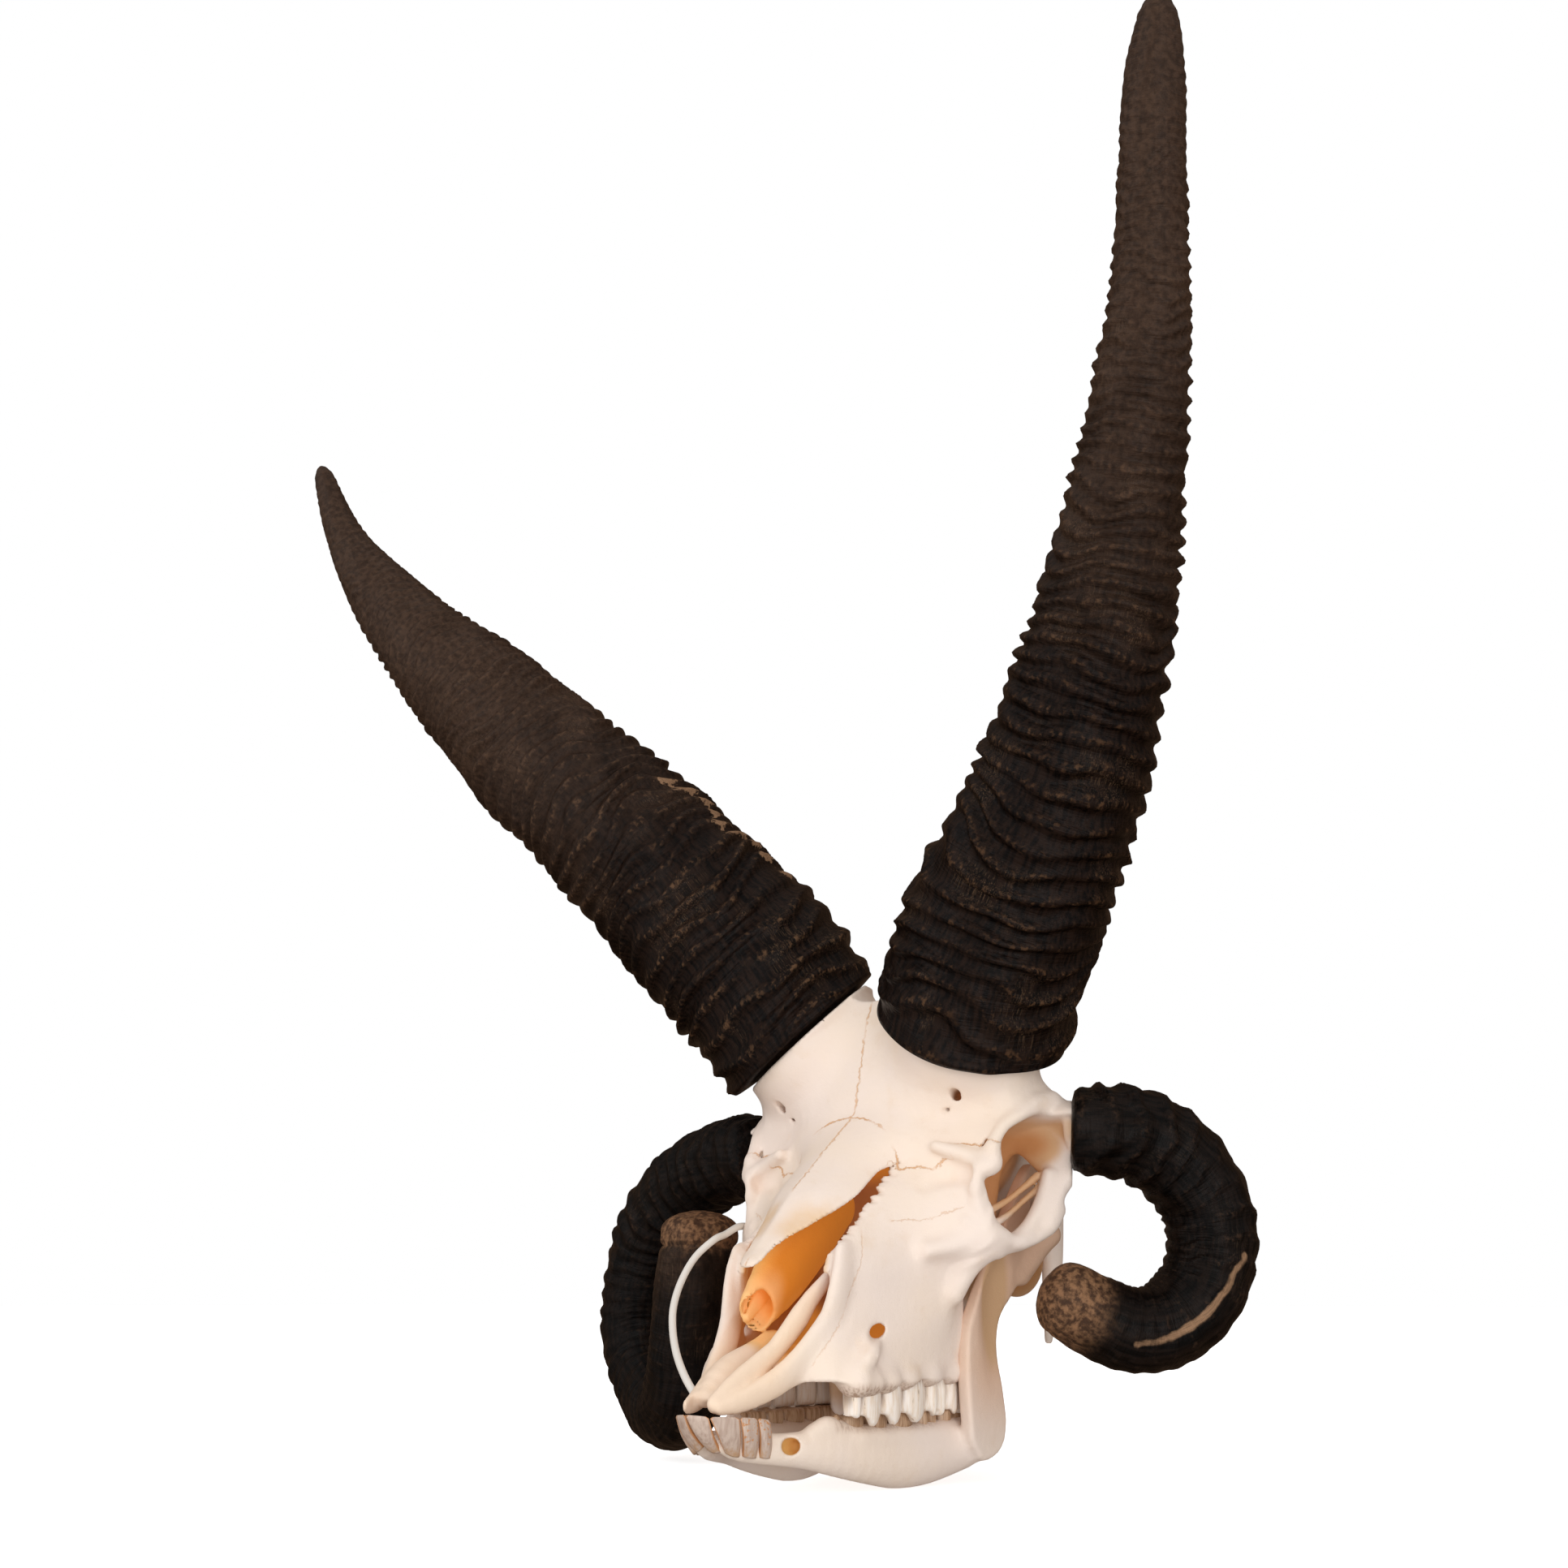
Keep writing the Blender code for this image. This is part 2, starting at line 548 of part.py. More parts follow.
def build_horns():
    """The four horn sheaths."""
    for side, name, points, radii in (
            (1, "horn_upper_left", HORN_UPPER_LEFT, HORN_UPPER_LEFT_RADII),
            (-1, "horn_upper_right", HORN_UPPER_RIGHT, HORN_UPPER_RIGHT_RADII)):
        normal = Vector((UPPER_BASE_NORMAL.x * side, UPPER_BASE_NORMAL.y, UPPER_BASE_NORMAL.z))
        rings = horn_rings(points, radii, normal, UPPER_WIDTH_AXIS, (UPPER_DEPTH_SHARE, UPPER_DEPTH_SHARE),
                           UPPER_RIDGE_PITCH, UPPER_RIDGE_HEIGHT, UPPER_SIDES)
        to_object(name, skin(rings), HORN)
    for name, points, radii, loop_axis, shares in (
            ("horn_lower_left", HORN_LOWER_LEFT, HORN_LOWER_LEFT_RADII, LOWER_LEFT_LOOP_AXIS, (1.0, 0.95)),
            ("horn_lower_right", HORN_LOWER_RIGHT, HORN_LOWER_RIGHT_RADII, LOWER_RIGHT_LOOP_AXIS,
             (1.0, 1.0, 1.0, LOWER_TIP_DEPTH_SHARE))):
        rings = horn_rings(points, radii, foot_direction(points), loop_axis, shares,
                           LOWER_RIDGE_PITCH, LOWER_RIDGE_HEIGHT, LOWER_SIDES)
        to_object(name, skin(rings), HORN)


def rounded_section(middle_x, half, low, high):
    """Eight points of an upright oval with a flat top, as (X, Z) pairs."""
    middle = (low + high) / 2
    tall = (high - low) / 2
    corners = ((0.7, 1.0), (1.0, 0.45), (0.95, -0.45), (0.45, -1.0),
               (-0.45, -1.0), (-0.95, -0.45), (-1.0, 0.45), (-0.7, 1.0))
    return [(middle_x + half * across, middle + tall * up) for across, up in corners]


def jaw_body(side):
    """The tooth-bearing body of one jaw half, its sections one behind the other."""
    rings = []
    for back, middle_x, half, low, high in JAW_SECTIONS:
        rings.append([Vector((x * side, back, z)) for x, z in rounded_section(middle_x, half, low, high)])
    return skin(rings)


def jaw_branch(side):
    """The upright branch of one jaw half: flat ovals stacked from low to high."""
    rings = []
    for height, front, rear, middle_x, half in BRANCH_SECTIONS:
        centre = Vector((middle_x * side, (front + rear) / 2, height))
        rings.append(ellipse(centre, Vector((half, 0, 0)), Vector((0, (rear - front) / 2, 0)), 10))
    return skin(rings)


def front_tooth(tooth, side, room=0.0):
    """One front tooth's blade, or with some room added, the socket it stands in."""
    root, tip, half, turn = tooth
    start = Vector((root[0] * side, root[1], root[2]))
    end = Vector((tip[0] * side, tip[1], tip[2]))
    ahead = (end - start).normalized()
    across = Vector((math.cos(math.radians(turn)) * side, math.sin(math.radians(turn)), 0.0))
    across = (across - ahead * ahead.dot(across)).normalized()
    up = across.cross(ahead)
    rings = []
    for share, wide, thick in ((0.0, 0.6, 0.7), (0.55, 1.0, 1.0), (1.0, 0.95, 0.35)):
        centre = start.lerp(end, share) + ahead * (room * (share * 2 - 1))
        rings.append(ellipse(centre, across * (half * wide + room),
                             up * (FRONT_TOOTH_THICKNESS * thick + room), 6))
    return skin(rings)


def build_jaws():
    """The two halves of the lower jaw, cut flat where they stand."""
    for side, name in ((1, "mandible_left"), (-1, "mandible_right")):
        jaw = to_object(name, jaw_body(side), BONE)
        combine(jaw, jaw_branch(side), "UNION")
        combine(jaw, bar(JAW_HOOK, side), "UNION")
        combine(jaw, bar(JAW_NECK, side), "UNION")
        below = bmesh.new()
        bmesh.ops.create_cube(below, size=1.0)
        below.transform(Matrix.Translation((0, 0, -20)) @ Matrix.Diagonal((400, 400, 40, 1)))
        combine(jaw, below, "DIFFERENCE")
        for tooth in FRONT_TEETH:
            combine(jaw, front_tooth(tooth, side, SOCKET_ROOM), "DIFFERENCE")
        tidy(jaw)


def cheek_tooth(front, back, middle_x, half, root_z, crown_z, side, outer_cusps):
    """One cheek tooth: a six-sided column whose outer edge ends in two low points."""
    middle = (front + back) / 2
    outline = ((-1, front), (1, front), (1.12, middle), (1, back), (-1, back), (-1.05, middle))
    step = -1 if crown_z < root_z else 1
    rings = []
    for height, swell in ((root_z, 0.82), ((root_z + crown_z) / 2, 1.0), (crown_z, 0.9)):
        ring = []
        for across, place in outline:
            z = height
            if height == crown_z and across > 0 and outer_cusps and place != middle:
                z += step * CUSP_DROP
            y = middle + (place - middle) * swell
            ring.append(Vector(((middle_x + half * across * swell) * side, y, z)))
        rings.append(ring)
    return skin(rings)


def build_cheek_teeth():
    """Six teeth in each of the four rows, a hair's breadth apart."""
    slit = GAP / 2
    last = len(TOOTH_JOINTS) - 2
    for side, hand in ((1, "left"), (-1, "right")):
        for i, (front, back) in enumerate(zip(TOOTH_JOINTS, TOOTH_JOINTS[1:])):
            share = i / last
            upper_x = UPPER_TOOTH_X[0] * (1 - share) + UPPER_TOOTH_X[1] * share
            lower_x = LOWER_TOOTH_X[0] * (1 - share) + LOWER_TOOTH_X[1] * share
            upper = cheek_tooth(front + slit, back - slit, upper_x, UPPER_TOOTH_HALF[i],
                                *UPPER_TOOTH_Z, side, True)
            to_object(f"upper_tooth_{hand}_{i + 1}", upper, ENAMEL)
            lower = cheek_tooth(front + slit, back - slit, lower_x, LOWER_TOOTH_HALF[i],
                                *LOWER_TOOTH_Z, side, False)
            to_object(f"lower_tooth_{hand}_{i + 1}", lower, ENAMEL)


def build_front_teeth():
    """Four flat blades on each side of the chin."""
    for side, hand in ((1, "left"), (-1, "right")):
        for i, tooth in enumerate(FRONT_TEETH):
            to_object(f"incisor_{hand}_{i + 1}", front_tooth(tooth, side), ENAMEL)


def build_wire():
    """The thin bowed wire beside the snout."""
    path = smooth_path(WIRE_POINTS, WIRE_STEPS)
    rings = []
    for i, point in enumerate(path):
        ahead = (path[min(i + 1, WIRE_STEPS - 1)] - path[max(i - 1, 0)]).normalized()
        across = ahead.cross(Vector((0.6, -0.8, 0))).normalized()
        rings.append(ellipse(point, across * WIRE_RADIUS, ahead.cross(across) * WIRE_RADIUS, 6))
    to_object("wire", skin(rings), WIRE)


for old in list(bpy.data.objects):
    bpy.data.objects.remove(old)
build_cranium()
build_jaws()
build_horns()
build_cheek_teeth()
build_front_teeth()
build_wire()
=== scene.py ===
# %% [markdown]
# # A four-horned sheep skull
#
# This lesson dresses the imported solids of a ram's skull with four horns. The bone has
# thin walls, holes, ridges and seams, so it is grown from a field of distances, as a
# sculptor builds up and carves clay. The horns are rings carried along bent paths, and
# the teeth are small columns shaped by formulas. Everything is written in millimetres in
# the skull's own frame: the bridge of the nose is at Y = 0, the table is Z = 0, the face
# looks towards -Y and the animal's left is +X.

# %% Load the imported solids
import math

import bpy
import numpy as np
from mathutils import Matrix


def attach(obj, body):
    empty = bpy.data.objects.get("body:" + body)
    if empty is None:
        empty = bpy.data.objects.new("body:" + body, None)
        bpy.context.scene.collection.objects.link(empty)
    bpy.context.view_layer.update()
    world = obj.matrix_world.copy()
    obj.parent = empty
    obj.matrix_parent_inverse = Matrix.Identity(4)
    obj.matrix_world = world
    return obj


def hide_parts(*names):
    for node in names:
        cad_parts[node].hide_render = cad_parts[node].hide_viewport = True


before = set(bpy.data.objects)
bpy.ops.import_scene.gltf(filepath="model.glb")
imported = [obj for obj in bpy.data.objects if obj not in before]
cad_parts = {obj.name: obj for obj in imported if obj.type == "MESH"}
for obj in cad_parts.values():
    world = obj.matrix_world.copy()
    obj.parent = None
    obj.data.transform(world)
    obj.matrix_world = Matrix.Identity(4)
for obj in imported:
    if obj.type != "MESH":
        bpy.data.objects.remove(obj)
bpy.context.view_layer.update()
MM = 0.001
ORIGIN = np.array((52.1, -13.1, 0.0))


# %% [markdown]
# ## Paths and meshes
#
# A horn, a bar of bone and a wire all follow a smooth path through a few given
# points. A Catmull-Rom curve goes exactly through its points, which makes it easier to
# place than a Bezier curve, whose handles lie off the line.

# %% A smooth path through points
def through(points, count):
    """Evenly spaced rows on a curve through the given rows. Each stretch is a cubic whose
    slope at a point is half the step between that point's neighbours, and the curve is
    then spaced anew by its running length."""
    knots = np.asarray(points, float)
    knots = np.vstack((2 * knots[:1] - knots[1:2], knots, 2 * knots[-1:] - knots[-2:-1]))
    t = np.linspace(0, 1, 24, endpoint=False)[None, :, None]
    a, b, c, d = (knots[i:len(knots) - 3 + i, None] for i in range(4))
    fine = 0.5 * (2 * b + (c - a) * t + (2 * a - 5 * b + 4 * c - d) * t**2
                  + (3 * b - a - 3 * c + d) * t**3)
    fine = np.vstack((fine.reshape(-1, knots.shape[1]), knots[-2:-1]))
    reached = np.append(0, np.cumsum(np.linalg.norm(np.diff(fine, axis=0), axis=1)))
    wanted = np.linspace(0, reached[-1], count)
    return np.stack([np.interp(wanted, reached, column) for column in fine.T], 1)


def unit(vectors):
    """Vectors divided by their lengths."""
    vectors = np.asarray(vectors, float)
    return vectors / np.linalg.norm(vectors, axis=-1, keepdims=True)


# %% Turn arrays into a mesh object
def to_piece(name, points, quads, attributes=None, triangles=()):
    """An object from points in the skull's millimetres, rows of four and rows of three
    corners, with the given values kept on its points for the materials to read."""
    mesh = bpy.data.meshes.new(name)
    mesh.vertices.add(len(points))
    mesh.vertices.foreach_set("co", ((points + ORIGIN) * MM).astype(np.float32).ravel())
    corners = np.concatenate((np.ravel(quads), np.ravel(triangles))).astype(np.int32)
    sizes = np.repeat((4, 3), (len(quads), len(triangles)))
    mesh.loops.add(len(corners))
    mesh.loops.foreach_set("vertex_index", corners)
    mesh.polygons.add(len(sizes))
    mesh.polygons.foreach_set("loop_start", (np.cumsum(sizes) - sizes).astype(np.int32))
    mesh.update(calc_edges=True)
    mesh.shade_smooth()
    for key, values in (attributes or {}).items():
        kind, field = ("FLOAT_VECTOR", "vector") if values.ndim == 2 else ("FLOAT", "value")
        layer = mesh.attributes.new(key, kind, "POINT")
        layer.data.foreach_set(field, values.astype(np.float32).ravel())
    thing = bpy.data.objects.new(name, mesh)
    bpy.context.scene.collection.objects.link(thing)
    print(name, len(points), "points,", len(sizes), "faces")
    return thing


# %% A closed tube from rings of points
def closed_tube(name, grid, attributes=None):
    """An object from a grid of points, ring after ring round a middle line. Each ring is
    joined to the next by quads and each end ring to its own centre by a fan of triangles.
    Where the solid's volume comes out negative, its faces are turned to face out."""
    rings, sides = grid.shape[:2]
    points = np.vstack((grid.reshape(-1, 3), grid[0].mean(0), grid[-1].mean(0)))
    here = np.arange(rings * sides).reshape(rings, sides)
    ahead = np.roll(here, -1, axis=1)
    quads = np.stack((here[:-1], ahead[:-1], ahead[1:], here[1:]), 2).reshape(-1, 4)
    first, last = np.full(sides, rings * sides), np.full(sides, rings * sides + 1)
    fans = (ahead[0], here[0], first), (here[-1], ahead[-1], last)
    triangles = np.vstack([np.stack(fan, 1) for fan in fans])
    a, b, c, d = (points[quads[:, i]] - points[0] for i in range(4))
    if ((a * np.cross(b, c)).sum() + (a * np.cross(c, d)).sum()) < 0:
        quads, triangles = quads[:, ::-1], triangles[:, ::-1]
    kept = {}
    for key, values in (attributes or {}).items():
        values = np.broadcast_to(values, (rings, sides) + np.shape(values)[2:])
        ends = np.stack((values[0].mean(0), values[-1].mean(0)))
        kept[key] = np.concatenate((values.reshape(rings * sides, *values.shape[2:]), ends))
    return to_piece(name, points, quads, kept, triangles)


# %% [markdown]
# ## A field of distances
#
# Bone has walls a few millimetres thick, with hollows behind them. A field keeps, at every
# point of a block of space, the distance to the bone's skin, negative inside. Two shapes
# grow together by taking the smaller distance, and one is carved from the other by taking
# the larger of a distance and minus the other's. Rounding that choice makes the soft joins
# of real bone, which Boolean modifiers can't. The head is the same on both sides, so only
# its left half is worked out, and then mirrored.

# %% The block of space and its two tools
def soft_least(a, b, width):
    """The smaller of two distances, rounded where they differ by less than the width:
    from the smaller one, a quarter of the squared overlap over the width is taken off."""
    overlap = np.maximum(width - np.abs(a - b), 0.0)
    return np.minimum(a, b) - overlap * overlap * (0.25 / width)


class Clay:
    """A block of points with the distance to the skin at each, and the distance to the
    skin before anything was carved, which tells how deep inside the head a point is. The
    bone's colour paints shade and nose light by that depth."""

    def __init__(self, low, high, step):
        self.step = step
        self.low = np.array(low, float)
        self.axes = [np.arange(a, b, step, dtype=np.float32) for a, b in zip(low, high)]
        shape = [len(axis) for axis in self.axes]
        self.skin = np.full(shape, 50.0, np.float32)
        self.hull = np.full(shape, 50.0, np.float32)

    def window(self, low, high):
        """The part of the block between two corners, and its coordinates."""
        cuts = tuple(slice(int(np.searchsorted(axis, a)), int(np.searchsorted(axis, b)))
                     for axis, a, b in zip(self.axes, low, high))
        x, y, z = (axis[cut] for axis, cut in zip(self.axes, cuts))
        return cuts, x[:, None, None], y[None, :, None], z[None, None, :]

    def add(self, shape, width):
        """Grow a shape onto the bone, with a soft join of the given width."""
        measure, low, high = shape
        cuts, x, y, z = self.window(low - width - 3, high + width + 3)
        distance = measure(x, y, z)
        for field in (self.skin, self.hull):
            field[cuts] = soft_least(field[cuts], distance, width)

    def shade(self, shape):
        """Count a shape as inside the head without growing any bone there, so that painted shade or
        painted nose light falls on the bone in it.
        """
        measure, low, high = shape
        cuts, x, y, z = self.window(low - 3, high + 3)
        self.hull[cuts] = np.minimum(self.hull[cuts], measure(x, y, z))

    def bare(self, shape):
        """Count the skin of a shape as outer bone again, so that no painted shade falls on it."""
        measure, low, high = shape
        cuts, x, y, z = self.window(low - 3, high + 3)
        self.hull[cuts] = np.maximum(self.hull[cuts], -measure(x, y, z))

    def carve(self, shape, width):
        """Cut a shape away, with a rounded edge of the given width."""
        measure, low, high = shape
        cuts, x, y, z = self.window(low - width - 3, high + width + 3)
        self.skin[cuts] = -soft_least(-self.skin[cuts], measure(x, y, z), width)


# %% [markdown]
# ## Shapes to add and carve
#
# Three shapes make nearly all of a skull: a bar that follows a path with a changing
# thickness, a lump, and a prism with a drawn outline. Each one is a rule that gives the
# distance to its skin at every point at once, together with the corners of its box, so
# that only the part of the block near it has to be worked out.

# %% Bars
def bar(points, radii, squeeze=(1, 1, 1), count=10):
    """A bar along a smooth path. Space is stretched by squeeze, so the bar is thinner along
    a stretched axis. The distance to a stretch is the distance to the nearest point on its
    middle line, less the radius there, and the least over all stretches counts."""
    path = through(np.column_stack((points, radii)), count)
    scale = np.array(squeeze, float)
    reach = path[:, 3:] / scale
    low, high = (path[:, :3] - reach).min(0), (path[:, :3] + reach).max(0)
    places = (path[:, :3] * scale).astype(np.float32)

    def measure(x, y, z):
        x, y, z = x * scale[0], y * scale[1], z * scale[2]
        least = None
        for a, b, first, last in zip(places, places[1:], path[:, 3], path[1:, 3]):
            step = b - a
            share = ((x - a[0]) * step[0] + (y - a[1]) * step[1] + (z - a[2]) * step[2])
            share = np.clip(share / float(step @ step), 0, 1)
            away = np.sqrt((x - a[0] - share * step[0])**2 + (y - a[1] - share * step[1])**2
                           + (z - a[2] - share * step[2])**2)
            away -= first + share * (last - first)
            least = away if least is None else np.minimum(least, away)
        return least / max(squeeze)**0.5

    return measure, low, high


# %% Lumps
def lump(centre, radii):
    """An ellipsoid. With p the place divided by the radii, the distance is |p| (|p| - 1)
    over the length of p divided by the radii again."""

    def measure(x, y, z):
        x, y, z = x - centre[0], y - centre[1], z - centre[2]
        near = np.sqrt((x / radii[0])**2 + (y / radii[1])**2 + (z / radii[2])**2)
        steep = np.sqrt((x / radii[0]**2)**2 + (y / radii[1]**2)**2 + (z / radii[2]**2)**2)
        return near * (near - 1) / np.maximum(steep, 1e-6)

    return measure, np.subtract(centre, radii), np.add(centre, radii)


# %% Prisms
def outline_distance(u, v, corners):
    """Distance in the plane from points (u, v) to a closed outline, negative inside. It is
    the least distance to any side, and a point is inside if a line from it crosses an odd
    number of sides."""
    least = np.full(np.broadcast_shapes(u.shape, v.shape), 1e9, np.float32)
    inside = np.zeros(least.shape, bool)
    for (au, av), (bu, bv) in zip(corners, np.roll(corners, -1, axis=0)):
        du, dv = bu - au, bv - av
        share = np.clip(((u - au) * du + (v - av) * dv) / (du * du + dv * dv + 1e-9), 0, 1)
        np.minimum(least, (u - au - share * du)**2 + (v - av - share * dv)**2, out=least)
        if av != bv:
            inside ^= ((v >= av) != (v >= bv)) & (u < au + (v - av) * du / dv)
    return np.where(inside, -1, 1) * np.sqrt(least)


def side_prism(corners, inner, outer):
    """A prism through the head from x = inner to x = outer, with an outline seen from the
    side as (Y, Z) corners. The distance is the largest of those to its sides and ends."""
    corners = np.array(corners, float)

    def measure(x, y, z):
        flat = outline_distance(y, z, corners)
        return np.maximum(flat, np.maximum(inner - x, x - outer))

    return measure, np.array((inner, *corners.min(0))), np.array((outer, *corners.max(0)))


# %% [markdown]
# ## From field to surface
#
# Remesh and Metaball tools would do this step in the interface. Here a surface net does
# it: each small cell that the skin passes through gets one point, at the mean of the
# places where the skin cuts the cell's edges, and each cut edge gets a quad that joins the
# four cells round it. The points then slide along the field's slope onto the skin.

# %% Read a field between its points
def read_field(field, low, step, points):
    """Values of a field at points between its own, by linear blending in a cell."""
    place = np.clip((points - low) / step, 0, np.array(field.shape) - 1.001)
    cell = place.astype(int)
    part = place - cell
    total = 0.0
    for corner in np.ndindex(2, 2, 2):
        weight = np.prod(np.where(corner, part, 1 - part), axis=1)
        total = total + weight * field[tuple((cell + corner).T)]
    return total


# %% Draw the skin as a net
def draw_skin(field, low, step):
    """The net of quads on the zero level of a field, facing out."""
    solid = field < 0
    count = sum(solid[i:solid.shape[0] - 1 + i, j:solid.shape[1] - 1 + j,
                      k:solid.shape[2] - 1 + k].astype(np.int8)
                for i, j, k in np.ndindex(2, 2, 2))
    cells = np.argwhere((count > 0) & (count < 8))
    number = np.full(count.shape, -1, np.int32)
    number[tuple(cells.T)] = np.arange(len(cells))
    total, cuts = np.zeros((len(cells), 3)), np.zeros(len(cells))
    faces = []
    for axis in range(3):
        ahead = np.eye(3, dtype=int)[axis]
        one, two = np.eye(3, dtype=int)[(axis + 1) % 3], np.eye(3, dtype=int)[(axis + 2) % 3]
        for corner in (0 * one, one, two, one + two):
            first = field[tuple((cells + corner).T)]
            last = field[tuple((cells + corner + ahead).T)]
            cut = (first < 0) != (last < 0)
            share = np.where(cut, first / np.where(cut, first - last, 1), 0)
            total += cut[:, None] * (corner + share[:, None] * ahead)
            cuts += cut
        here = [slice(1, -1)] * 3
        there = list(here)
        here[axis], there[axis] = slice(0, -1), slice(1, None)
        crossed = solid[tuple(here)] != solid[tuple(there)]
        edges = np.argwhere(crossed) + 1 - ahead
        ring = [number[tuple((edges - shift).T)] for shift in (one + two, two, 0 * one, one)]
        quads = np.stack(ring, 1)
        outward = solid[tuple(edges.T)]
        faces.append(np.where(outward[:, None], quads, quads[:, ::-1]))
    return low + step * (cells + total / cuts[:, None]), np.vstack(faces)


def settle(points, field, low, step, slopes, rounds=2):
    """Slide points along the field's slope onto its zero level."""
    for _ in range(rounds):
        slope = np.stack([read_field(part, low, step, points) for part in slopes], 1)
        height = read_field(field, low, step, points)
        move = -height / np.maximum((slope**2).sum(1), 0.2)
        points = points + np.clip(move, -step, step)[:, None] * slope
    return points, unit(slope)


# %% [markdown]
# ## The head's outer form
#
# The face is a stack of level outlines from the jaw's edge up to the crown, measured at
# the landmarks of a sheep's head: cheek teeth, lower rim of the eye socket, bridge of the
# nose. Between levels the outlines change smoothly. Each one starts at the midline in
# front, goes round the cheek, and ends at the midline behind.

# %% Level outlines of the face
FACE_LEVELS = {
    38: ((0, -60), (10, -59), (22, -56), (32, -49), (36, -30), (37, 0), (34.5, 15), (29, 27), (0, 30)),
    52: ((0, -57), (9, -57), (17, -55), (27, -46), (32, -30), (37, -8), (38, 10), (32, 24), (0, 34)),
    66: ((0, -44), (10, -44), (21, -43), (28, -34), (34, -18), (40, 0), (41, 8), (30, 26), (0, 40)),
    76: ((0, -65), (3.5, -64), (22, -42), (29, -32), (36, -14), (43, 0), (46, 6), (31, 25), (0, 46)),
    84: ((0, -58), (7, -55), (24, -38), (30, -26), (38, -9), (49, 2), (55.5, 9), (33, 33), (0, 52)),
    94: ((0, -48), (10, -41), (21, -30), (28, -20), (40, -5), (53, 3), (57, 10), (34, 42), (0, 56)),
    104: ((0, -38), (11, -32), (22, -18), (30, -9), (42, 0), (53, 6), (57, 11), (34, 46), (0, 58)),
    113: ((0, -27), (12, -20), (23, -5), (31, 0), (43, 6), (54, 9), (58, 14), (36, 50), (0, 60)),
    124: ((0, -13), (12, -8), (25, 0), (35, 6), (46, 10), (57, 12), (61, 18), (42, 52), (0, 62)),
    134: ((0, 0), (12, 1), (26, 5), (38, 12), (50, 15), (60, 18), (65, 30), (48, 56), (0, 64)),
    146: ((0, 4), (13, 5), (28, 8), (41, 13), (52, 17), (58, 23), (57.5, 35), (46, 52), (0, 70)),
    158: ((0, 7), (14, 8), (28, 11), (40, 15), (48, 20), (52, 27), (51, 38), (42, 52), (0, 72)),
    170: ((0, 10), (10, 10), (18, 13), (24, 18), (28, 26), (30, 36), (28, 46), (22, 56), (0, 66)),
    180: ((0, 14), (8, 14), (12, 17), (15, 22), (17, 28), (18, 36), (16, 44), (12, 52), (0, 58)),
}


# %% The stack of outlines as one shape
def between_rows(knots, rows, places):
    """Rows at places between the knots. Each stretch is a cubic whose slope at a knot is
    that of the straight line between the knot's neighbours."""
    knots, rows = np.asarray(knots, float), np.asarray(rows, float)
    slope = np.gradient(rows, knots, axis=0)
    low = np.clip(np.searchsorted(knots, places) - 1, 0, len(knots) - 2)
    span = (knots[low + 1] - knots[low])[:, None]
    t = np.clip((places - knots[low])[:, None] / span, 0, 1)
    first, last = rows[low], rows[low + 1]
    return ((2 * t**3 - 3 * t**2 + 1) * first + (t**3 - 2 * t**2 + t) * span * slope[low]
            + (3 * t**2 - 2 * t**3) * last + (t**3 - t**2) * span * slope[low + 1])


def face_shape(step):
    """The stack of outlines. In each level the distance is that to the outline, made less
    where the wall slopes: it is divided by the root of one plus the squared change per
    millimetre of height."""
    heights = list(FACE_LEVELS)
    rows = np.array([np.ravel(outline) for outline in FACE_LEVELS.values()], float)

    def measure(x, y, z):
        distance = np.empty((x.size, y.size, z.size), np.float32)
        for k, row in enumerate(between_rows(heights, rows, z.ravel())):
            half = through(row.reshape(-1, 2), 33)
            closed = np.vstack((half, half[-2:0:-1] * (-1, 1)))
            distance[:, :, k] = outline_distance(x[:, :, 0], y[:, :, 0], closed)
        distance /= np.sqrt(1 + np.gradient(distance, step, axis=2)**2)
        return np.maximum(distance, np.maximum(38 - z, z - 180))

    return measure, np.array((0, -70, 36)), np.array((70, 76, 182))


print("levels of the face:", len(FACE_LEVELS), "from", min(FACE_LEVELS), "to", max(FACE_LEVELS), "mm")


# %% [markdown]
# ## Carving the nose and growing the bars of bone
#
# The nose opening is drawn from the side: the free edge of the nasal bones above, the
# upper jaw below and behind. Behind it the face is hollowed to a wall of three millimetres,
# so that light falls on the curled bone inside. The eye sockets are ellipsoids that run
# into the open space beside the braincase, and thin bars close them again. Light and shade
# are painted into the bone's colour later by its depth under the uncarved form, so a few
# shapes grow or cut nothing and only tell the clay where painted shade and painted nose
# light go (inside), or where they are taken off again (outer bone).

# %% Places on the cranium
STEP = 1.0
GAP = 0.3
NASAL_WALL = 3.0
NOSE_OPENING = (
    (-2, 115), (-9.7, 111.5), (-17, 106.3), (-23.6, 101.6), (-31, 97), (-37, 93.6), (-43, 90.2),
    (-49, 87.2), (-55, 83.4), (-60.5, 79), (-64.5, 75.5), (-70, 73), (-104, 73), (-104, 30),
    (-76, 31), (-68, 40), (-56, 52), (-43.5, 65.5), (-43.5, 76), (-42, 81.5), (-38, 85.5),
    (-33, 89), (-26, 95), (-17, 103.2), (-6, 112),
)
NOSE_HOLLOW = (
    (-82, 38), (-50, 41), (-20, 44), (4, 54), (20, 70), (24, 90), (16, 108), (2, 118), (-8, 112),
    (-17, 104), (-30, 95), (-44, 87), (-56, 80), (-68, 75),
)
JAGGED_EDGE = ((23.5, -41, 82.5), (23.5, -35, 87.5), (23, -27, 94), (23, -17, 103), (23, -6, 111.5))
NOSE_FRONT = (
    (-104, 74), (-41, 74), (-34, 66), (-34, 56), (-42, 48.5), (-58, 40.5), (-76, 34.5), (-104, 30),
)
PALATE_HOLLOW = ((0, -14, 34), (24, 50, 9))
SOCKET = ((72, 26.5, 110), (35, 22.5, 24))
SOCKET_REAR = ((64, 54, 108), (28, 24, 19))
